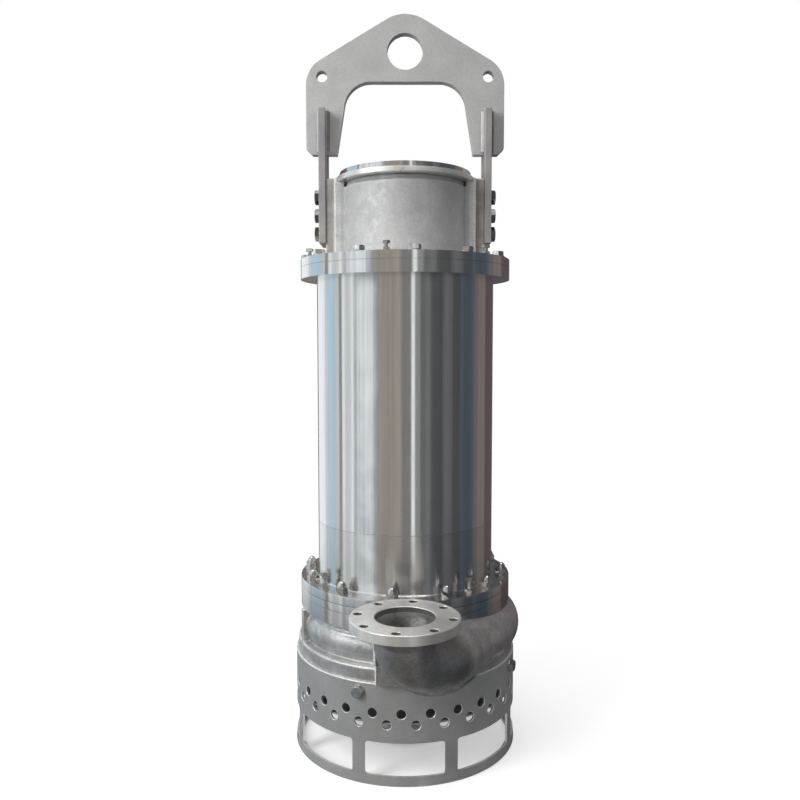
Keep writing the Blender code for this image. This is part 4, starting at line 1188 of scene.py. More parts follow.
def bead(start: Vector, end: Vector, first: Vector, second: Vector, leg: float, seed: int) -> Solid:
    """Return a rippled weld bead in the corner between two faces.

    Args:
        start: One end of the corner line.
        end: The other end.
        first: Direction along one face, away from the corner.
        second: Direction along the other face.
        leg: Width of the bead on each face.
        seed: Start of the random unevenness.

    Returns:
        A closed bead whose back lies slightly inside the corner.
    """
    rng = random.Random(seed)
    length = (end - start).length
    steps = max(8, int(length / 1.3))
    loops = []
    wander = 0.0
    for step in range(steps + 1):
        share = step / steps
        wander = wander * 0.9 + rng.uniform(-0.02, 0.02)
        ripple = 0.95 + 0.05 * abs(math.sin(math.pi * share * length / 5.2)) + wander
        ends = min(1.0, 6.0 * min(share, 1.0 - share) * length / 30.0 + 0.35)
        size = leg * ripple * ends
        centre = start.lerp(end, share)
        loop = [centre - (first + second) * 1.0]
        for point in range(9):
            angle = math.radians(90.0 * point / 8)
            bulge = 0.80 + 0.20 * abs(math.cos(2.0 * angle))
            loop.append(
                centre + (first * math.cos(angle) + second * math.sin(angle)) * size * bulge
            )
        loops.append(loop)
    return Solid.lofted(loops)


@dataclass
class LiftingFrame:
    """Lifting plate, its weld beads, the two bars that carry it and their bolts."""

    thickness: float = 30.0
    half_width: float = 291.0
    low: float = 1750.0
    top: float = 2154.0
    shoulder_z: float = 1999.0
    shoulder_radius: float = 86.0
    apex_radius: float = 107.0
    leg_chamfer: float = 18.0
    leg_inner: float = 200.0
    arch_z: float = 1960.0
    arch_corner: float = 167.0
    arch_radius: float = 78.0
    eye_z: float = 2047.0
    eye_radius: float = 52.0
    shackle_x: float = 244.0
    shackle_z: float = 1975.0
    shackle_radius: float = 16.0
    bar_x: float = 241.0
    bar_thickness: float = 20.0
    bar_half_width: float = 60.0
    bar_low: float = 1487.0
    bar_high: float = 1875.0
    bolt_first: float = 1520.0
    bolt_pitch: float = 54.0
    bolt_count: int = 3
    bolt_head: HexFastener = HexFastener(38.0, 14.0, 23.0, 3.0)
    weld_leg: float = 10.0
    edge: float = 1.4

    def half_outline(self) -> Outline:
        """Return the plate's right half, from the arch round to the apex.

        Returns:
            Points in x and z.
        """
        lean = math.atan2(self.leg_inner - self.arch_corner, self.arch_z - self.low)
        arch_turn = math.pi / 2.0 - lean
        start = self.arch_corner - self.arch_radius * math.tan(arch_turn / 2.0)
        centre = (start, self.arch_z - self.arch_radius)
        points = arc(centre, self.arch_radius, 90.0, math.degrees(lean), 20)
        points.append((self.leg_inner, self.low))
        points.append((self.half_width - self.leg_chamfer, self.low))
        points.append((self.half_width, self.low + self.leg_chamfer))
        rise = self.top + self.apex_radius * 0.149 - self.shoulder_z
        slope = math.atan2(rise, self.half_width)
        shoulder_turn = math.pi / 2.0 - slope
        shoulder_low = self.shoulder_z - self.shoulder_radius * math.tan(shoulder_turn / 2.0)
        steep = 90.0 - math.degrees(slope)
        centre = (self.half_width - self.shoulder_radius, shoulder_low)
        points += arc(centre, self.shoulder_radius, 0.0, steep, 18)
        points += arc((0.0, self.top - self.apex_radius), self.apex_radius, steep, 90.0, 14)
        return points

    def plate(self) -> Solid:
        """Return the plate with its eye, shackle holes and the slots for the bars.

        Returns:
            The solid.
        """
        right = self.half_outline()
        left = [(-x, z) for x, z in reversed(right[:-1])]
        half = self.thickness / 2.0
        plate = Solid.extruded(right + left, -half, half, Axis.Y)
        tip = turned_by(90.0, Axis.X)
        holes = [Solid.rod(self.eye_radius, -40.0, 40.0, 96).moved(shifted(0, 0, self.eye_z) @ tip)]
        slot = self.bar_thickness / 2.0 + 0.3
        for side in (-1.0, 1.0):
            spot = shifted(side * self.shackle_x, 0.0, self.shackle_z)
            holes.append(Solid.rod(self.shackle_radius, -40.0, 40.0, 48).moved(spot @ tip))
            centre = side * self.bar_x
            holes.append(
                Solid.block(
                    (centre - slot, centre + slot),
                    (-40.0, 40.0),
                    (self.low - 20.0, self.bar_high + 0.3),
                )
            )
        return plate.combined(holes, Operation.CUT).rounded(self.edge, 2, 40.0)

    def beads(self) -> Solid:
        """Return all weld beads between the plate and the bars.

        Returns:
            The beads as shells of one solid.
        """
        half = self.thickness / 2.0
        shells = []
        seed = 0
        for side in (-1.0, 1.0):
            for front in (-1.0, 1.0):
                away = Vector((0.0, front, 0.0))
                for edge in (-1.0, 1.0):
                    seed += 1
                    x = side * self.bar_x + edge * self.bar_thickness / 2.0
                    start = Vector((x, front * half, self.low + 3.0))
                    end = Vector((x, front * half, self.bar_high + 3.0))
                    across = Vector((edge, 0.0, 0.0))
                    shells.append(bead(start, end, across, away, self.weld_leg, seed))
                seed += 1
                reach = self.bar_thickness / 2.0 + 4.0
                start = Vector((side * self.bar_x - reach, front * half, self.bar_high))
                end = Vector((side * self.bar_x + reach, front * half, self.bar_high))
                up = Vector((0.0, 0.0, 1.0))
                shells.append(bead(start, end, up, away, self.weld_leg * 0.8, seed))
        return shells[0].beside(shells[1:])

    def build(self) -> None:
        """Place the plate, beads, bars and bolts."""
        made("lifting_plate", self.plate(), BLASTED_PLATE, nodes=("lifting_yoke",))
        made("lifting_plate_welds", self.beads(), WELD_METAL, weighted=False)
        head = mesh_data("bar_bolt_head", self.bolt_head.solid())
        for side, label in ((-1.0, "left"), (1.0, "right")):
            inner = side * (self.bar_x - self.bar_thickness / 2.0)
            outer = side * (self.bar_x + self.bar_thickness / 2.0)
            bar = Solid.block(
                (min(inner, outer), max(inner, outer)),
                (-self.bar_half_width, self.bar_half_width),
                (self.bar_low, self.bar_high),
            )
            bar.rounded(1.6, 3)
            made("bar_" + label, bar, BAR_STEEL, nodes=("lifting_bar_" + label,))
            for index in range(self.bolt_count):
                height = self.bolt_first + self.bolt_pitch * index
                where = shifted(outer, 0.0, height) @ turned_by(90.0 * side, Axis.Y)
                where = where @ turned_by(7.0 + 23.0 * index)
                node = "bar_bolt_" + label + "_" + str(index + 1)
                placed(node + "_head", head, DARK_FASTENER, nodes=(node,), where=where)


@dataclass
class TerminalHousing:
    """Cast housing with pads and bosses, its machined flange, the cover and the gland."""

    radius: float = 186.0
    wall: float = 14.0
    low: float = 1440.0
    top: float = 1662.0
    cover_radius: float = 207.5
    cover_top: float = 1694.0
    lip_top: float = 1678.0
    groove_radius: float = 172.0
    recess_radius: float = 115.0
    flange_low: float = 1417.3
    flange_radius: float = 309.5
    pad_reach: float = 205.0
    pad_half_width: float = 70.0
    boss_reach: float = 230.7
    boss_half_width: float = 54.0
    pad_top: float = 1674.0
    gland_z: float = 1552.0
    gland_face: float = 216.0
    gland_reach: float = 292.0
    gland_plate: float = 54.0
    gland_neck: float = 38.0
    gland_flats: float = 78.0
    cable_radius: float = 17.0
    screw_circle: float = 146.0
    screw_count: int = 8
    bolt_circle: float = 291.0
    bolt_start: float = 5.0
    bolt_count: int = 12
    bolt_head: HexFastener = HexFastener(30.0, 12.9, 18.5)
    jack_start: float = -10.0
    jack_count: int = 6
    jack: JackScrew = JackScrew(6.0, 19.0, 8.0, 10.0, 8.0, 1.6)

    def body(self) -> Solid:
        """Return the cast body, melted into one skin.

        Returns:
            The solid.
        """
        inner = self.radius - self.wall
        ring = Solid.turned(
            [
                (inner, self.low - 4.0),
                (self.radius + 17.0, self.low - 4.0),
                (self.radius + 15.0, self.low + 1.0),
                (self.radius + 5.0, self.low + 5.0),
                (self.radius, self.low + 15.0),
                (self.radius, self.top - 16.0),
                (self.radius - 6.0, self.top - 12.0),
                (self.radius - 6.0, self.top),
                (inner, self.top),
            ],
            128,
        )
        tip = shifted(0.0, 0.0, self.gland_z) @ turned_by(-90.0, Axis.X)
        shells = [Solid.rod(58.0, self.radius - 8.0, self.gland_face, 64).moved(tip)]
        for side in (-1.0, 1.0):
            near = side * (self.radius - 10.0)
            for reach, half in (
                (self.pad_reach, self.pad_half_width),
                (self.boss_reach, self.boss_half_width),
            ):
                far = side * reach
                across = (min(near, far), max(near, far))
                shells.append(Solid.block(across, (-half, half), (self.low - 4.0, self.pad_top)))
        body = ring.beside(shells).cast(2.4, 5)
        seat = Solid.rod(self.cover_radius + 2.0, self.top - 0.5, self.cover_top + 6.0, 128)
        bore = Solid.rod(self.cable_radius + 8.0, 120.0, 230.0, 48).moved(tip)
        return body.combined([seat, bore], Operation.CUT)

    def cover_screws(self) -> list[Vector]:
        """Return the places of the screws in the cover's top.

        Returns:
            One point for each screw.
        """
        pitch = 360.0 / self.screw_count
        angles = [pitch * (index + 0.5) for index in range(self.screw_count)]
        return [clock(self.screw_circle, degrees, self.cover_top) for degrees in angles]

    def cover(self) -> Solid:
        """Return the turned cover with its stepped rim, a groove and a shallow recess.

        Returns:
            The solid.
        """
        profile = [
            (0.0, self.top - 8.0),
            (self.radius - self.wall - 0.5, self.top - 8.0),
            (self.radius - self.wall - 0.5, self.lip_top - 2.0),
            (self.cover_radius - 13.0, self.lip_top - 2.0),
            (self.cover_radius - 13.5, self.cover_top),
            (self.groove_radius + 4.0, self.cover_top),
            (self.groove_radius + 2.0, self.cover_top - 2.0),
            (self.groove_radius - 2.0, self.cover_top - 2.0),
            (self.groove_radius - 4.0, self.cover_top),
            (self.recess_radius + 3.0, self.cover_top),
            (self.recess_radius, self.cover_top - 3.0),
            (0.0, self.cover_top - 3.0),
        ]
        cover = Solid.turned(softened(profile, 0.9, 2))
        sockets = []
        for spot in self.cover_screws():
            recess = Solid.rod(11.5, -2.5, 3.0, 32)
            sockets.append(recess.moved(Matrix.Translation(spot)))
        return cover.combined(sockets, Operation.CUT)

    def cover_lip(self) -> Solid:
        """Return the wider lip under the cover's rim.

        Returns:
            The solid.
        """
        profile = [
            (self.radius - self.wall, self.top),
            (self.cover_radius - 1.5, self.top),
            (self.cover_radius, self.top + 3.0),
            (self.cover_radius - 3.0, self.lip_top),
            (self.radius - self.wall, self.lip_top),
        ]
        return Solid.turned(softened(profile, 0.9, 2))

    def cover_screw(self) -> Solid:
        """Return a screw head with a hexagon socket, sunk into the cover.

        Returns:
            The solid.
        """
        head = Solid.ring(0.0, 10.8, (-3.0, -0.6), 0.8, 32)
        outline = arc((0.0, 0.0), 6.4, 0.0, 300.0, 5)
        return head.combined([Solid.extruded(outline, -2.6, 1.0, Axis.Z)], Operation.CUT)

    def gland(self) -> Solid:
        """Return the cable gland along +Z from the housing's boss.

        Returns:
            The solid.
        """
        inner = self.cable_radius + 3.0
        high = self.gland_reach - self.gland_face
        low = high - 35.0
        plate = Solid.turned(
            softened(
                [
                    (inner, 0.3),
                    (self.gland_plate, 0.3),
                    (self.gland_plate, 14.0),
                    (self.gland_neck, 14.0),
                    (self.gland_neck, low + 1.0),
                    (inner, low + 1.0),
                ],
                1.2,
                2,
            ),
            96,
        )
        nut = HexFastener(self.gland_flats, 1.0, 1.0).hexagon(low, high)
        hole = Solid.rod(inner, low - 5.0, high + 5.0, 48)
        return nut.combined([hole], Operation.CUT).beside([plate])

    def gland_ring(self) -> Solid:
        """Return the rubber ring in the gland's mouth.

        Returns:
            The solid.
        """
        high = self.gland_reach - self.gland_face - 3.0
        inner = self.cable_radius
        outer = self.cable_radius + 4.0
        profile = [(inner, 6.0), (outer, 6.0), (outer, high), (inner + 1.0, high)]
        return Solid.turned(softened(profile, 0.8, 2), 64)

    def build(self) -> None:
        """Place the casting, flange, cover, gland and the fasteners of the flange."""
        data = mesh_data("housing_casting", self.body())
        data.materials.append(CAST_HOUSING.material())
        data.materials.append(HOUSING_PAD.material())
        data.materials.append(HOUSING_BOSS.material())
        for polygon in data.polygons:
            across = abs(polygon.center.x) / MM
            if polygon.center.z < (self.low + 6.0) * MM or across < self.radius + 1.0:
                continue
            polygon.material_index = 1 if across < self.pad_reach + 1.5 else 2
        placed(
            "housing_casting", data, CAST_HOUSING, nodes=("terminal_housing",), weighted=False
        )
        span = (self.flange_low, self.low)
        flange = Solid.ring(self.radius - self.wall, self.flange_radius, span, 0.8)
        made("housing_flange", flange, POLISHED)
        made("cover_turned", self.cover(), POLISHED, nodes=("top_cover",))
        made("cover_lip", self.cover_lip(), MACHINED_FACE)
        screw = mesh_data("cover_screw", self.cover_screw())
        for number, spot in enumerate(self.cover_screws(), 1):
            where = Matrix.Translation(spot)
            placed("cover_screw_" + str(number), screw, BRIGHT_FASTENER, where=where)
        tip = shifted(0.0, self.gland_face, self.gland_z) @ turned_by(-90.0, Axis.X)
        made("gland_body", self.gland().moved(tip), BRIGHT_FASTENER, nodes=("cable_gland",))
        made("gland_ring", self.gland_ring().moved(tip), GLAND_RUBBER)
        head = mesh_data("flange_bolt_head", self.bolt_head.solid())
        for index, degrees in enumerate(around(self.bolt_start, self.bolt_count)):
            where = upright(self.bolt_circle, degrees, self.low, 11.0 * index)
            node = "flange_bolt_" + str(index + 1)
            placed(node + "_head", head, BRIGHT_FASTENER, nodes=(node,), where=where)
        jack = mesh_data("flange_jack", self.jack.solid())
        for index, degrees in enumerate(around(self.jack_start, self.jack_count)):
            where = upright(self.bolt_circle, degrees, self.low, 17.0 * index)
            placed("flange_jack_" + str(index + 1), jack, BRIGHT_FASTENER, where=where)


@dataclass
class MotorCasing:
    """Motor tube in two bands, its flanges, and the ring of nuts at the bottom."""

    radius: float = 262.5
    bore: float = 250.5
    bottom: float = 477.3
    bottom_flange_top: float = 503.0
    seam: float = 669.8
    top_flange_low: float = 1382.0
    top: float = 1417.0
    top_flange_radius: float = 309.5
    bottom_flange_radius: float = 315.0
    oil_low: float = 454.3
    oil_top: float = 477.0
    oil_bore: float = 120.0
    stud_circle: float = 292.0
    stud_start: float = -7.0
    stud_count: int = 12
    jack_angles: tuple[float, float] = (-52.0, 38.0)
    weld: float = 4.5
    seam_depth: float = 0.8
    clearance: float = 0.3
    lower_edge: float = 1.8

    def fillet(self) -> Solid:
        """Return the small weld fillet between the tube and its bottom flange.

        Returns:
            The solid.
        """
        low = self.bottom_flange_top - 0.1
        inner = self.radius - 1.0
        profile: Outline = [(inner, low)]
        for step in range(6):
            angle = math.radians(90.0 * step / 5)
            out = self.radius + self.weld * (1.0 - math.sin(angle))
            profile.append((out, low + self.weld * (1.0 - math.cos(angle))))
        profile.append((inner, low + self.weld))
        return Solid.turned(profile, 256)

    def build(self) -> None:
        """Place the tube, seam, flanges, oil chamber ring and nuts."""
        gap = self.clearance
        upper = Solid.ring(self.bore, self.radius, (self.seam + gap, self.top), 0.7)
        made("casing_tube_upper", upper, POLISHED, nodes=("motor_casing",))
        lower = Solid.ring(self.bore, self.radius, (self.bottom, self.seam - gap), 0.7)
        made("casing_tube_lower", lower, POLISHED_LOWER)
        inner, outer = self.bore + 2.0, self.radius - self.seam_depth
        low, high = self.seam - 2.0, self.seam + 2.0
        seam = Solid.turned([(inner, low), (outer, low), (outer, high), (inner, high)])
        made("casing_seam", seam, WELD_METAL)
        seat = self.radius + gap
        span = (self.top_flange_low, self.top)
        flange = Solid.ring(seat, self.top_flange_radius, span, 0.7)
        made("top_flange_ring", flange, POLISHED, nodes=("casing_top_flange",))
        span = (self.bottom, self.bottom_flange_top)
        flange = Solid.ring(seat, self.bottom_flange_radius, span, self.lower_edge)
        made("bottom_flange_ring", flange, POLISHED, nodes=("casing_bottom_flange",))
        made("bottom_flange_weld", self.fillet(), POLISHED)
        span = (self.oil_low, self.oil_top)
        oil = Solid.ring(self.oil_bore, self.bottom_flange_radius, span, self.lower_edge)
        made("oil_chamber_ring", oil, POLISHED, nodes=("oil_chamber",))
        nut = mesh_data("dome_nut", DomeNut().solid())
        for index, degrees in enumerate(around(self.stud_start, self.stud_count)):
            where = upright(self.stud_circle, degrees, self.bottom_flange_top, 13.0 * index)
            node = "dome_nut_stud_" + str(index + 1)
            placed("dome_nut_" + str(index + 1), nut, BRIGHT_FASTENER, nodes=(node,), where=where)
        jack = mesh_data("jack_screw", JackScrew().solid())
        for degrees, label in zip(self.jack_angles, ("left", "right")):
            where = upright(self.stud_circle, degrees, self.bottom_flange_top, 9.0)
            node = "jack_bolt_" + label
            placed("jack_screw_" + label, jack, BRIGHT_FASTENER, nodes=(node,), where=where)


@dataclass(frozen=True)
class Section:
    """One oval section of a tube: its middle and its two half axes."""

    centre: Vector
    down: Vector
    side: Vector

    def loop(self, steps: int) -> list[Vector]:
        """Return the points round the section.

        Args:
            steps: Number of points.

        Returns:
            The points in order.
        """
        points = []
        for step in range(steps):
            angle = 2.0 * math.pi * step / steps
            points.append(self.centre + self.down * math.cos(angle) + self.side * math.sin(angle))
        return points


@dataclass
class Volute:
    """Volute casing: scroll, elbow, ribs, machined top ring and discharge flange."""

    band_radius: float = 323.7
    band_low: float = 226.0
    step_z: float = 321.0
    body_radius: float = 302.0
    neck_radius: float = 294.0
    neck_low: float = 396.0
    flange_low: float = 415.0
    top: float = 454.0
    flange_radius: float = 315.0
    chamber_radius: float = 252.0
    cover_bore: float = 262.0
    scroll_z: float = 362.0
    scroll_start: float = -15.0
    scroll_sweep: float = 285.0
    scroll_centre: float = 257.0
    scroll_centre_growth: float = 15.0
    scroll_tube: float = 48.0
    scroll_tube_growth: float = 29.0
    wall: float = 13.0
    reach: float = 470.0
    face_z: float = 518.0
    discharge_radius: float = 139.7
    discharge_thickness: float = 25.4
    bore: float = 76.2
    hole_circle: float = 120.65
    hole_radius: float = 11.1
    hole_count: int = 8
    hole_start: float = -10.0
    pivot_z: float = 456.0
    bend: float = 73.0
    depth: float = 72.0
    width: float = 88.0
    neck: float = 88.0
    handle: float = 255.0
    cover_seat: float = 318.0
    gusset: tuple[Span, Span, Span] = ((-78.0, 10.0), (-348.0, -250.0), (284.0, 428.0))
    elbow_rib: tuple[Span, Span, Span] = ((-77.0, -63.0), (-430.0, -301.0), (372.0, 452.0))
    side_rib: tuple[Span, Span] = ((-10.0, 10.0), (-322.0, -273.0))
    rib_angle: float = -70.0

    def scroll(self, shrink: float) -> list[Section]:
        """Return the sections of the scroll, made thinner by a wall where shrink is set.

        Args:
            shrink: Thickness that is taken off.

        Returns:
            The sections in order.
        """
        sections = []
        steps = 72
        for step in range(steps + 1):
            share = step / steps
            degrees = self.scroll_start - self.scroll_sweep * share
            radius = self.scroll_tube + self.scroll_tube_growth * share - shrink
            away = self.scroll_centre + self.scroll_centre_growth * share
            centre = clock(away, degrees, self.scroll_z)
            sections.append(Section(centre, Vector((0.0, 0.0, -radius)), clock(radius, degrees)))
        return sections

    def elbow(self, shrink: float) -> list[Section]:
        """Return the sections from the scroll's end, round the elbow, up to the flange.

        Args:
            shrink: Thickness that is taken off.

        Returns:
            The sections in order.
        """
        toward = Vector((math.sqrt(0.5), math.sqrt(0.5), 0.0))
        across = Vector((math.sqrt(0.5), -math.sqrt(0.5), 0.0))
        neck = Vector((0.0, -self.reach, self.pivot_z))
        pivot = neck + toward * self.bend
        last = self.scroll_start - self.scroll_sweep
        radius = self.scroll_centre + self.scroll_centre_growth
        start = clock(radius, last, self.scroll_z)
        angle = math.radians(last)
        heading = Vector((-math.cos(angle), -math.sin(angle), 0.0))
        first = self.scroll_tube + self.scroll_tube_growth
        target = Vector((pivot.x, pivot.y, self.scroll_z))
        rise = self.pivot_z - self.bend - self.scroll_z
        handle = start + heading * self.handle
        sections = []
        steps = 24
        for step in range(1, steps):
            t = step / steps
            centre = start * (1 - t) ** 2 + handle * 2 * t * (1 - t) + target * t**2
            centre.z += rise * t**3
            ahead = ((handle - start) * (1 - t) + (target - handle) * t).normalized()
            side = Vector((-ahead.y, ahead.x, 0.0))
            depth = first + (self.depth - first) * t - shrink
            width = first + (self.width - first) * t - shrink
            sections.append(Section(centre, Vector((0.0, 0.0, -depth)), side * width))
        steps = 20
        for step in range(steps + 1):
            turn = math.radians(90.0 - 90.0 * step / steps)
            away = -toward * math.cos(turn) - Vector((0.0, 0.0, math.sin(turn)))
            sections.append(
                Section(
                    pivot + away * self.bend,
                    away * (self.depth - shrink),
                    across * (self.width - shrink),
                )
            )
        low = self.face_z - self.discharge_thickness
        for height in (low - 8.0, low + (60.0 if shrink else 10.0)):
            size = self.neck - shrink
            centre = Vector((neck.x, neck.y, height))
            sections.append(Section(centre, -toward * size, across * size))
        return sections

    def tube(self, shrink: float) -> Solid:
        """Return scroll and elbow as one tube.

        Args:
            shrink: Thickness that is taken off.

        Returns:
            The solid.
        """
        sections = self.scroll(shrink) + self.elbow(shrink)
        return Solid.lofted([section.loop(48) for section in sections])

    def casting(self) -> Solid:
        """Return the cast body with its inside cut out.

        Returns:
            The solid.
        """
        body = Solid.turned(
            [
                (0.0, self.band_low),
                (self.band_radius, self.band_low),
                (self.band_radius, self.step_z - 3.0),
                (self.band_radius - 3.0, self.step_z),
                (self.body_radius - 1.0, self.step_z + 3.0),
                (self.body_radius + 3.0, self.scroll_z),
                (self.body_radius - 1.0, self.neck_low - 4.0),
                (self.neck_radius, self.neck_low),
                (self.neck_radius, self.flange_low + 4.0),
                (0.0, self.flange_low + 4.0),
            ],
            160,
        )
        shells = [
            self.tube(0.0),
            Solid.block(*self.gusset),
            Solid.block(*self.elbow_rib),
        ]
        for degrees in (self.rib_angle, self.rib_angle + 180.0):
            rib = Solid.block(*self.side_rib, (290.0, self.flange_low + 3.0))
            shells.append(rib.moved(turned_by(degrees)))
        body.beside(shells).cast(2.6, 4)
        chamber = Solid.turned(
            [
                (0.0, 200.0),
                (self.cover_bore, 200.0),
                (self.cover_bore, self.cover_seat),
                (self.chamber_radius, self.cover_seat),
                (self.chamber_radius, 500.0),
                (0.0, 500.0),
            ],
            128,
        )
        for tool in (chamber, self.tube(self.wall)):
            body.combined([tool], Operation.CUT)
        return body

    def discharge_flange(self) -> Solid:
        """Return the machined discharge flange with its bore and holes.

        Returns:
            The solid.
        """
        low = self.face_z - self.discharge_thickness
        profile = [
            (self.bore, low - 2.0),
            (self.neck + 4.0, low - 2.0),
            (self.neck + 6.0, low),
            (self.discharge_radius, low),
            (self.discharge_radius, self.face_z - 1.6),
            (self.discharge_radius - 1.6, self.face_z),
            (self.discharge_radius - 9.0, self.face_z),
            (self.discharge_radius - 9.6, self.face_z - 0.5),
            (self.bore + 1.5, self.face_z - 0.5),
            (self.bore, self.face_z - 2.0),
        ]
        flange = Solid.turned(softened(profile, 0.8, 2), 160)
        holes = []
        rim = self.hole_radius + 1.8
        for degrees in around(self.hole_start, self.hole_count):
            cutter = Solid.turned(
                [
                    (0.0, self.face_z - 48.0),
                    (self.hole_radius, self.face_z - 48.0),
                    (self.hole_radius, self.face_z - 1.8),
                    (rim, self.face_z + 0.2),
                    (rim, self.face_z + 12.0),
                    (0.0, self.face_z + 12.0),
                ],
                40,
            )
            holes.append(cutter.moved(Matrix.Translation(clock(self.hole_circle, degrees))))
        return flange.combined(holes, Operation.CUT)

    def seams(self) -> None:
        """Place the ragged parting seam on the edges of the gusset and the rib, in the bright edge
        finish with its painted highlight.
        """
        left = Vector((-1.0, 0.0, 0.0))
        front = Vector((0.0, -1.0, 0.0))
        shells = []
        for block, inset, rise, leg, seed in (
            (self.gusset, Vector((1.5, 1.5, 2.0)), 146.0, 4.5, 31),
            (self.elbow_rib, Vector((1.5, 2.0, 2.0)), 78.0, 6.0, 32),
        ):
            foot = Vector([span[0] for span in block])
            end = Vector((foot.x + inset.x, foot.y + inset.y, foot.z + rise))
            shells.append(bead(foot + inset, end, left, front, leg, seed))
        made("parting_seam", shells[0].beside(shells[1:]), CUT_EDGE_PAINTED_HIGHLIGHT, weighted=False)

    def build(self) -> None:
        """Place the casting, the top ring, the discharge flange and the seams."""
        made(
            "volute_casting",
            self.casting(),
            CAST_SCROLL,
            nodes=("volute_casing",),
            weighted=False,
        )
        ring = Solid.turned(
            softened(
                [
                    (self.chamber_radius, self.flange_low),
                    (self.flange_radius, self.flange_low),
                    (self.flange_radius, self.top),
                    (self.chamber_radius, self.top),
                ],
                1.4,
            ),
            256,
        )
        made("volute_top_ring", ring, POLISHED_LOWER)
        data = mesh_data("discharge_flange", self.discharge_flange())
        data.materials.append(MACHINED_FACE.material())
        data.materials.append(BORE_PAINTED_SHADE.material())
        # Upright faces of the bore and the bolt holes get the dark finish: painted shade inside the
        # holes.
        for polygon in data.polygons:
            away = math.hypot(polygon.center.x, polygon.center.y) / MM
            if abs(polygon.normal.z) < 0.5 and away < self.hole_circle + self.hole_radius + 1.0:
                polygon.material_index = 1
        where = shifted(0.0, -self.reach, 0.0)
        placed("discharge_flange", data, MACHINED_FACE, where=where)
        self.seams()


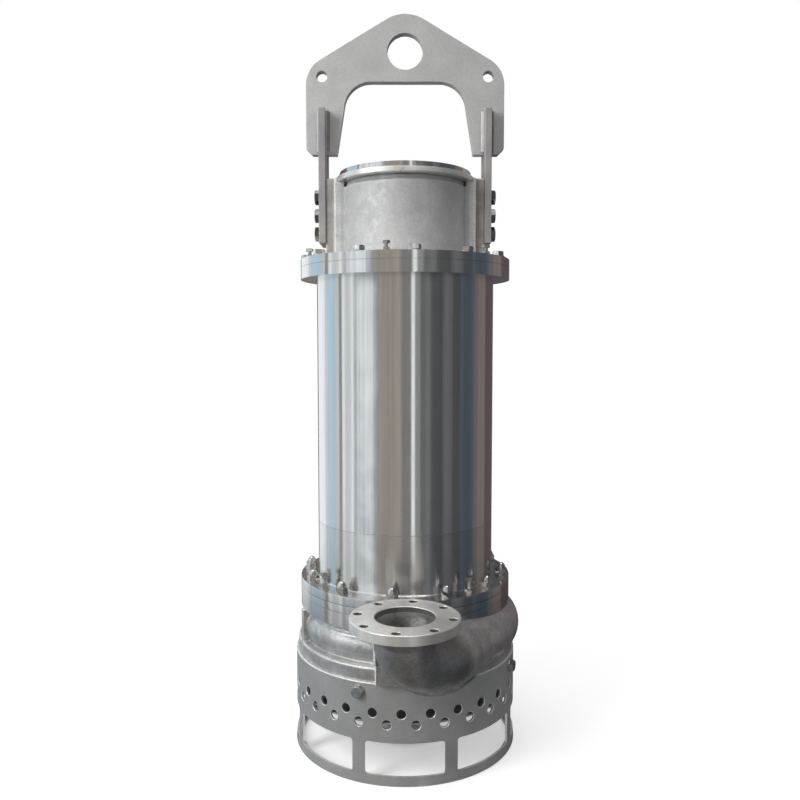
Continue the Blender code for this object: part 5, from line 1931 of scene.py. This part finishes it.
@dataclass
class Strainer:
    """Strainer: skirt with two rows of holes, windows, base ring, notch and bolts."""

    radius: float = 331.0
    wall: float = 7.0
    top: float = 281.0
    ring_radius: float = 333.0
    ring_inner: float = 313.0
    ring_top: float = 12.0
    shelf_inner: float = 205.0
    shelf_low: float = 168.0
    shelf_high: float = 173.0
    window_low: float = 27.0
    window_high: float = 120.0
    window_half_angle: float = 19.6
    window_count: int = 8
    window_corner: float = 8.0
    hole_count: int = 26
    hole_radius: float = 13.3
    upper_row: float = 200.0
    lower_row: float = 170.0
    row_start: float = -1.8
    notch_x: float = 92.0
    notch_z: float = 422.0
    notch_radius: float = 176.0
    bolt_z: float = 255.0
    bolt_start: float = -22.5
    bolt_count: int = 4
    bolt_head: HexFastener = HexFastener(30.0, 12.9, 19.0)
    steps: int = 240

    def cutters(self) -> list[Solid]:
        """Return the tools for the windows, the holes and the notch.

        Returns:
            The tools.
        """
        inner = self.radius - self.wall
        tools = []
        half = inner * math.sin(math.radians(self.window_half_angle))
        corner = self.window_corner
        outline: Outline = []
        for centre, first in (
            ((half - corner, self.window_high - corner), 0.0),
            ((-half + corner, self.window_high - corner), 90.0),
            ((-half + corner, self.window_low + corner), 180.0),
            ((half - corner, self.window_low + corner), 270.0),
        ):
            outline += arc(centre, corner, first, first + 90.0, 6)
        for degrees in around(0.0, self.window_count):
            window = Solid.extruded(outline, -360.0, -240.0, Axis.Y)
            tools.append(window.moved(turned_by(degrees)))
        rim = self.hole_radius + 1.6
        for height, offset in (
            (self.upper_row, self.row_start),
            (self.lower_row, self.row_start + 180.0 / self.hole_count),
        ):
            for degrees in around(offset, self.hole_count):
                cutter = Solid.turned(
                    [
                        (0.0, -20.0),
                        (self.hole_radius, -20.0),
                        (self.hole_radius, -1.4),
                        (rim, 0.4),
                        (rim, 8.0),
                        (0.0, 8.0),
                    ],
                    32,
                )
                tools.append(cutter.moved(outward(degrees, self.radius, height)))
        notch = Solid.rod(self.notch_radius, 200.0, 400.0, 128)
        tip = shifted(self.notch_x, 0.0, self.notch_z) @ turned_by(90.0, Axis.X)
        tools.append(notch.moved(tip))
        return tools

    def skirt(self) -> bpy.types.Mesh:
        """Return the skirt's mesh with shading that follows the true cylinder.

        Returns:
            The mesh in metres.
        """
        inner = self.radius - self.wall
        profile = [
            (self.ring_inner, 0.8),
            (self.ring_inner + 0.8, 0.0),
            (self.ring_radius - 0.8, 0.0),
            (self.ring_radius, 0.8),
            (self.ring_radius, self.ring_top - 6.0),
            (self.radius, self.window_low - 1.0),
            (self.radius, self.top - 1.2),
            (self.radius - 1.2, self.top),
            (inner + 0.8, self.top),
            (inner, self.top - 0.8),
            (inner, self.ring_top),
            (self.ring_inner, self.ring_top),
        ]
        solid = Solid.turned(profile, self.steps).combined(self.cutters(), Operation.CUT)
        data = mesh_data("strainer_skirt", solid, 20.0)
        data.materials.append(SATIN_SHEET.material())
        data.materials.append(CUT_EDGE_PAINTED_HIGHLIGHT.material())
        limit = 0.4 * MM
        normals = []
        for polygon in data.polygons:
            flat = Vector((polygon.center.x, polygon.center.y, 0.0))
            lean = abs(polygon.normal.dot(flat.normalized()))
            height = polygon.center.z / MM
            row = self.lower_row - 15.0 < height < self.upper_row + 15.0
            rim = height > self.top - 2.5 or self.ring_top + 4.0 < height < self.window_high + 3.0
            # Hole rims, window edges and the top rim get the bright edge finish: bare cut metal
            # with a painted highlight.
            if (row and 0.2 < lean < 0.97) or (rim and lean < 0.97):
                polygon.material_index = 1
            for index in polygon.vertices:
                point = data.vertices[index].co
                flat = Vector((point.x, point.y, 0.0))
                level = abs(polygon.normal.z) < 0.02
                lean = polygon.normal.dot(flat.normalized())
                if level and lean > 0.99 and abs(flat.length - self.radius * MM) < limit:
                    normals.append(flat.normalized())
                elif level and lean < -0.99 and abs(flat.length - inner * MM) < limit:
                    normals.append(-flat.normalized())
                else:
                    normals.append(polygon.normal)
        data.normals_split_custom_set(normals)
        return data

    def build(self) -> None:
        """Place the skirt, the base ring and the bolts."""
        placed(
            "strainer_skirt",
            self.skirt(),
            SATIN_SHEET,
            nodes=("strainer", "strainer_base"),
            weighted=False,
        )
        span = (self.shelf_low, self.shelf_high)
        shelf = Solid.ring(self.shelf_inner, self.radius - self.wall, span, 0.8, self.steps)
        made("strainer_shelf", shelf, SATIN_SHEET)
        head = mesh_data("strainer_bolt_head", self.bolt_head.solid())
        for index, degrees in enumerate(around(self.bolt_start, self.bolt_count)):
            where = outward(degrees, self.radius - 0.3, self.bolt_z)
            where = where @ turned_by(12.0 + 19.0 * index)
            node = "strainer_bolt_" + str(index + 1)
            placed(node + "_head", head, BRIGHT_FASTENER, nodes=(node,), where=where)


@dataclass
class Rotor:
    """Impeller and agitator, cast again with rounded edges; the rest only gets finishes."""

    bore: float = 27.3
    impeller_radius: float = 214.0
    disc_low: float = 402.0
    disc_high: float = 419.0
    vane_low: float = 325.0
    vane_count: int = 4
    vane_thickness: float = 16.0
    agitator_low: float = 132.0
    agitator_radius: float = 118.0
    blade_count: int = 3
    blade_thickness: float = 20.0
    blade_height: float = 70.0

    @staticmethod
    def vane(start: float, end: float, thickness: float, sweep: float) -> Outline:
        """Return a curved blade in plan that leans back as it runs outwards.

        Args:
            start: Inner radius.
            end: Outer radius.
            thickness: Its thickness.
            sweep: How far it leans back in degrees.

        Returns:
            The outline.
        """
        outer = []
        inner = []
        steps = 16
        for step in range(steps + 1):
            share = step / steps
            radius = start + (end - start) * share
            angle = math.radians(sweep * share)
            half = math.atan2(thickness / 2.0, radius)
            outer.append((radius * math.cos(angle + half), radius * math.sin(angle + half)))
            inner.append((radius * math.cos(angle - half), radius * math.sin(angle - half)))
        return inner + list(reversed(outer))

    def impeller(self) -> Solid:
        """Return the impeller: disc, hub and vanes.

        Returns:
            The solid.
        """
        disc = Solid.turned(
            [
                (self.bore, self.vane_low),
                (44.0, self.vane_low),
                (58.0, self.disc_low - 20.0),
                (84.0, self.disc_low),
                (self.impeller_radius, self.disc_low + 4.0),
                (self.impeller_radius, self.disc_high - 2.0),
                (60.0, self.disc_high),
                (self.bore, self.disc_high),
            ],
            96,
        )
        vanes = []
        outline = self.vane(38.0, self.impeller_radius - 4.0, self.vane_thickness, 70.0)
        for degrees in around(0.0, self.vane_count):
            vane = Solid.extruded(outline, self.vane_low, self.disc_low + 8.0, Axis.Z)
            vanes.append(vane.moved(turned_by(degrees)))
        return disc.beside(vanes).cast(3.0, 3)

    def agitator(self) -> Solid:
        """Return the agitator: hub and thick blades.

        Returns:
            The solid.
        """
        hub = Solid.turned(
            [
                (self.bore, self.agitator_low),
                (48.0, self.agitator_low),
                (52.0, self.agitator_low + 40.0),
                (44.0, self.vane_low - 20.0),
                (40.0, self.vane_low - 0.6),
                (self.bore, self.vane_low - 0.6),
            ],
            96,
        )
        blades = []
        outline = self.vane(34.0, self.agitator_radius, self.blade_thickness, 24.0)
        low = self.agitator_low + 6.0
        for degrees in around(0.0, self.blade_count):
            blade = Solid.extruded(outline, low, low + self.blade_height, Axis.Z)
            blades.append(blade.moved(turned_by(degrees)))
        return hub.beside(blades).cast(2.4, 4)

    def build(self) -> None:
        """Place impeller and agitator."""
        made(
            "impeller_cast", self.impeller(), HARD_IRON, Body.ROTOR, ("impeller",), weighted=False
        )
        made(
            "agitator_cast", self.agitator(), HARD_IRON, Body.ROTOR, ("agitator",), weighted=False
        )


@dataclass
class HiddenNodes:
    """Finishes for the frame's own nodes that stay as they are."""

    def build(self) -> None:
        """Give every remaining node a finish of its kind."""
        finishes = {
            "stator": LAMINATIONS,
            "rotor_core": LAMINATIONS,
            "upper_bearing": POLISHED,
            "lower_bearing": POLISHED,
            "seal_seat": SEAL_CARBON,
            "seal_sleeve": POLISHED,
            "shaft": POLISHED,
            "rear_wear_plate": HARD_IRON,
            "suction_cover": HARD_IRON,
        }
        for name, finish in finishes.items():
            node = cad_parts[name]
            node.data.materials.clear()
            node.data.materials.append(finish.material())
            tidy_normals(node.data, SHARP_ANGLE)
            LOG.info("finish of %s set", name)


class Tint(Enum):
    """Tints of the reflector panels."""

    PALE = (1.02, 1.06, 1.08)
    SKY = (0.56, 0.72, 0.84)
    HAZE = (0.70, 0.75, 0.78)
    MIST = (0.50, 0.55, 0.58)
    SHADOW = (0.31, 0.33, 0.34)
    SAND = (0.37, 0.345, 0.31)
    STONE = (0.25, 0.25, 0.255)
    SLATE = (0.15, 0.155, 0.16)
    COAL = (0.085, 0.09, 0.095)
    NAVY = (0.085, 0.105, 0.13)
    EARTH = (0.21, 0.185, 0.18)
    PLUM = (0.12, 0.095, 0.105)


@dataclass(frozen=True)
class Panel:
    """One upright reflector panel that begins at a clock angle."""

    first: float
    tint: Tint
    stripes: float = 0.08


@dataclass
class Reflectors:
    """A ring of upright panels and the dim ground before them, seen only by polished metal."""

    radius: float = 1.3
    height: float = 3.4
    ground_radius: float = 0.32
    ground_level: float = 0.002
    ground_share: float = 0.42
    fade_height: float = 0.3
    stripe: float = 48.0
    panels: tuple[Panel, ...] = (
        Panel(-180.0, Tint.EARTH),
        Panel(-146.0, Tint.PALE, 0.2),
        Panel(-116.0, Tint.HAZE, 0.3),
        Panel(-108.0, Tint.SKY, 0.25),
        Panel(-91.0, Tint.HAZE, 0.3),
        Panel(-85.0, Tint.SHADOW, 0.3),
        Panel(-80.0, Tint.PALE),
        Panel(-75.0, Tint.HAZE, 0.25),
        Panel(-66.0, Tint.PALE),
        Panel(-62.5, Tint.MIST, 0.5),
        Panel(-37.0, Tint.SHADOW, 0.2),
        Panel(-30.0, Tint.SAND, 0.22),
        Panel(-4.0, Tint.STONE, 0.2),
        Panel(7.0, Tint.PALE, 0.0),
        Panel(11.0, Tint.SHADOW),
        Panel(17.0, Tint.SLATE, 0.2),
        Panel(29.0, Tint.COAL, 0.25),
        Panel(44.0, Tint.SLATE, 0.35),
        Panel(56.0, Tint.COAL, 0.3),
        Panel(68.0, Tint.NAVY, 0.35),
        Panel(90.0, Tint.SLATE, 0.3),
        Panel(98.0, Tint.EARTH, 0.25),
        Panel(116.0, Tint.PLUM, 0.25),
        Panel(155.0, Tint.COAL),
    )

    def finish(self, panel: Panel) -> bpy.types.Material:
        """Return the glow of one panel: its tint with fine upright stripes.

        Args:
            panel: Panel that glows.

        Returns:
            The material.
        """
        share = str(round(panel.stripes * 100))
        graph = Graph("reflector_" + panel.tint.name.lower() + "_" + share)
        stripes = graph.noise(self.stripe, 5.0, 0.8, graph.round_the_axis(0.0))
        light = graph.spread(stripes, 1.0 - panel.stripes, 1.0 + panel.stripes)
        start = (self.ground_level, self.fade_height)
        rise = graph.ramp(graph.parts()[2], start, (self.ground_share, 1.0))
        glow = graph.glow(panel.tint.value, graph.math("MULTIPLY", light, rise))
        graph.links.new(glow, graph.nodes["Material Output"].inputs["Surface"])
        return graph.material

    def build(self) -> None:
        """Place every panel from its own clock angle to the next one's."""
        ends = [panel.first for panel in self.panels[1:]] + [180.0]
        for number, (panel, end) in enumerate(zip(self.panels, ends)):
            mesh = bmesh.new()
            steps = max(2, round(end - panel.first))
            previous = None
            for step in range(steps + 1):
                degrees = panel.first + (end - panel.first) * step / steps
                column = [
                    mesh.verts.new(clock(self.ground_radius, degrees, self.ground_level)),
                    mesh.verts.new(clock(self.radius, degrees, self.ground_level)),
                    mesh.verts.new(clock(self.radius, degrees, self.height)),
                ]
                if previous is not None:
                    for low, high in ((0, 1), (1, 2)):
                        corners = (previous[low], column[low], column[high], previous[high])
                        mesh.faces.new(corners)
                previous = column
            data = bpy.data.meshes.new("reflector")
            mesh.to_mesh(data)
            mesh.free()
            data.materials.append(self.finish(panel))
            item = linked("reflector_" + str(number + 1), data)
            item.location = SHAFT
            item.visible_camera = False
            item.visible_diffuse = False
            item.visible_shadow = False
            item.visible_transmission = False
            item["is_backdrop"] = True


@dataclass
class Studio:
    """Floor, world, soft lamps and the camera."""

    lens: float = 36.23
    distance: float = 2.430
    camera_height: float = 1.1881
    pitch: float = 3.8415
    shift: float = -0.00635
    world_level: float = 0.47
    aim: tuple[float, float, float] = (0.0, 0.1, 1.0)
    key_power: float = 112.0
    fill_power: float = 12.0
    top_power: float = 50.0
    floor_radius: float = 30.0
    floor_colour: Colour = (0.80, 0.80, 0.80)
    floor_cloud: Colour = (0.82, 0.82, 0.82)
    painted_shadow_radius: Span = (0.04, 0.13)
    glow_past_painted_shadow: float = 0.42
    fade_radius: Span = (0.45, 1.3)

    def camera(self) -> None:
        """Set the camera at the photograph's angle."""
        data = bpy.data.cameras.new("camera")
        data.sensor_width = 36.0
        data.lens = self.lens
        data.shift_x = self.shift
        data.clip_end = 100.0
        camera = linked("camera", data)
        camera.location = (SHAFT.x, SHAFT.y - self.distance, self.camera_height)
        camera.rotation_euler = (math.radians(90.0 - self.pitch), 0.0, 0.0)
        bpy.context.scene.camera = camera

    def lamp(self, name: str, spot: Vector, size: Point, power: float) -> None:
        """Place one soft white lamp that points at the pump.

        Args:
            name: Name of the lamp.
            spot: Its place in metres.
            size: Its width and height.
            power: Its power in watts.
        """
        data = bpy.data.lights.new(name, "AREA")
        data.shape = "RECTANGLE"
        data.size, data.size_y = size
        data.energy = power
        lamp = linked(name, data)
        lamp.location = spot
        lamp.rotation_euler = (Vector(self.aim) - spot).to_track_quat("-Z", "Y").to_euler()
        lamp.visible_camera = False

    def lamps(self) -> None:
        """Place the key, fill and top lamps."""
        self.lamp("key", Vector((-2.75, -2.05, 2.6)), (1.6, 2.2), self.key_power)
        self.lamp("fill", Vector((1.6, -3.0, 1.9)), (1.2, 2.4), self.fill_power)
        self.lamp("top", Vector((0.0, 0.2, 4.2)), (2.2, 2.2), self.top_power)

    def world(self) -> None:
        """White for camera, glossy and transmission rays, and a soft level for the rest."""
        world = bpy.data.worlds.new("studio")
        bpy.context.scene.world = world
        world.use_nodes = True
        nodes = world.node_tree.nodes
        links = world.node_tree.links
        background = nodes["Background"]
        background.inputs["Color"].default_value = (*WHITE, 1.0)
        path = nodes.new("ShaderNodeLightPath")
        seen = nodes.new("ShaderNodeMath")
        seen.operation = "MAXIMUM"
        links.new(path.outputs["Is Camera Ray"], seen.inputs[0])
        links.new(path.outputs["Is Glossy Ray"], seen.inputs[1])
        clear = nodes.new("ShaderNodeMath")
        clear.operation = "MAXIMUM"
        links.new(seen.outputs[0], clear.inputs[0])
        links.new(path.outputs["Is Transmission Ray"], clear.inputs[1])
        level = nodes.new("ShaderNodeMapRange")
        links.new(clear.outputs[0], level.inputs["Value"])
        level.inputs["To Min"].default_value = self.world_level
        links.new(level.outputs["Result"], background.inputs["Strength"])

    def floor(self) -> None:
        """Lay a pale floor that fades to the white backdrop away from the pump, with a painted
        shadow round the shaft line where its glow falls away.
        """
        mesh = bmesh.new()
        bmesh.ops.create_circle(mesh, cap_ends=True, radius=self.floor_radius, segments=96)
        data = bpy.data.meshes.new("floor")
        mesh.to_mesh(data)
        mesh.free()
        floor = linked("floor", data)
        floor.location = (SHAFT.x, SHAFT.y, -0.0005)
        graph = Graph("pale_floor")
        clouds = graph.spread(graph.noise(400.0), 0.0, 1.0)
        diffuse = graph.nodes.new("ShaderNodeBsdfDiffuse")
        grain = graph.blend(clouds, self.floor_colour, self.floor_cloud)
        graph.join(grain, diffuse.inputs["Color"])
        path = graph.nodes.new("ShaderNodeLightPath")
        seen = graph.math("MAXIMUM", path.outputs["Is Camera Ray"], path.outputs["Is Glossy Ray"])
        seen = graph.math("MAXIMUM", seen, path.outputs["Is Transmission Ray"])
        away = graph.radius()
        # Painted shadow: the floor's glow drops to nothing near the shaft line.
        core = graph.ramp(away, self.painted_shadow_radius, (0.0, self.glow_past_painted_shadow), True)
        lit = graph.nodes.new("ShaderNodeAddShader")
        graph.links.new(diffuse.outputs[0], lit.inputs[0])
        graph.links.new(graph.glow(WHITE, graph.math("MULTIPLY", seen, core)), lit.inputs[1])
        mix = graph.nodes.new("ShaderNodeMixShader")
        graph.links.new(graph.ramp(away, self.fade_radius, (0.0, 1.0)), mix.inputs["Fac"])
        graph.links.new(lit.outputs[0], mix.inputs[1])
        graph.links.new(graph.glow(WHITE, seen), mix.inputs[2])
        graph.links.new(mix.outputs[0], graph.nodes["Material Output"].inputs["Surface"])
        data.materials.append(graph.material)
        floor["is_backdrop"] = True

    def build(self) -> None:
        """Set up everything round the pump."""
        self.camera()
        self.world()
        self.lamps()
        self.floor()
        scene = bpy.context.scene
        scene.view_settings.view_transform = "Standard"


def write_sizes() -> None:
    """Log the boxes of the frame and of the dressed part as plain lists."""
    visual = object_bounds()
    sizes = {
        "cad": [list(corner) for corner in CAD_BOX],
        "visual": [list(corner) for corner in visual],
    }
    for name, box in sizes.items():
        LOG.info("%s box: %s", name, [[round(value, 4) for value in corner] for corner in box])


def main() -> None:
    """Build every sub-assembly in order."""
    logging.basicConfig(level=logging.INFO, format="%(name)s: %(message)s")
    assemblies = [
        LiftingFrame(),
        TerminalHousing(),
        MotorCasing(),
        Volute(),
        Strainer(),
        Rotor(),
        HiddenNodes(),
        Reflectors(),
        Studio(),
    ]
    for assembly in assemblies:
        LOG.info("%s begins", type(assembly).__name__)
        assembly.build()
    write_sizes()


if __name__ == "__main__":
    main()
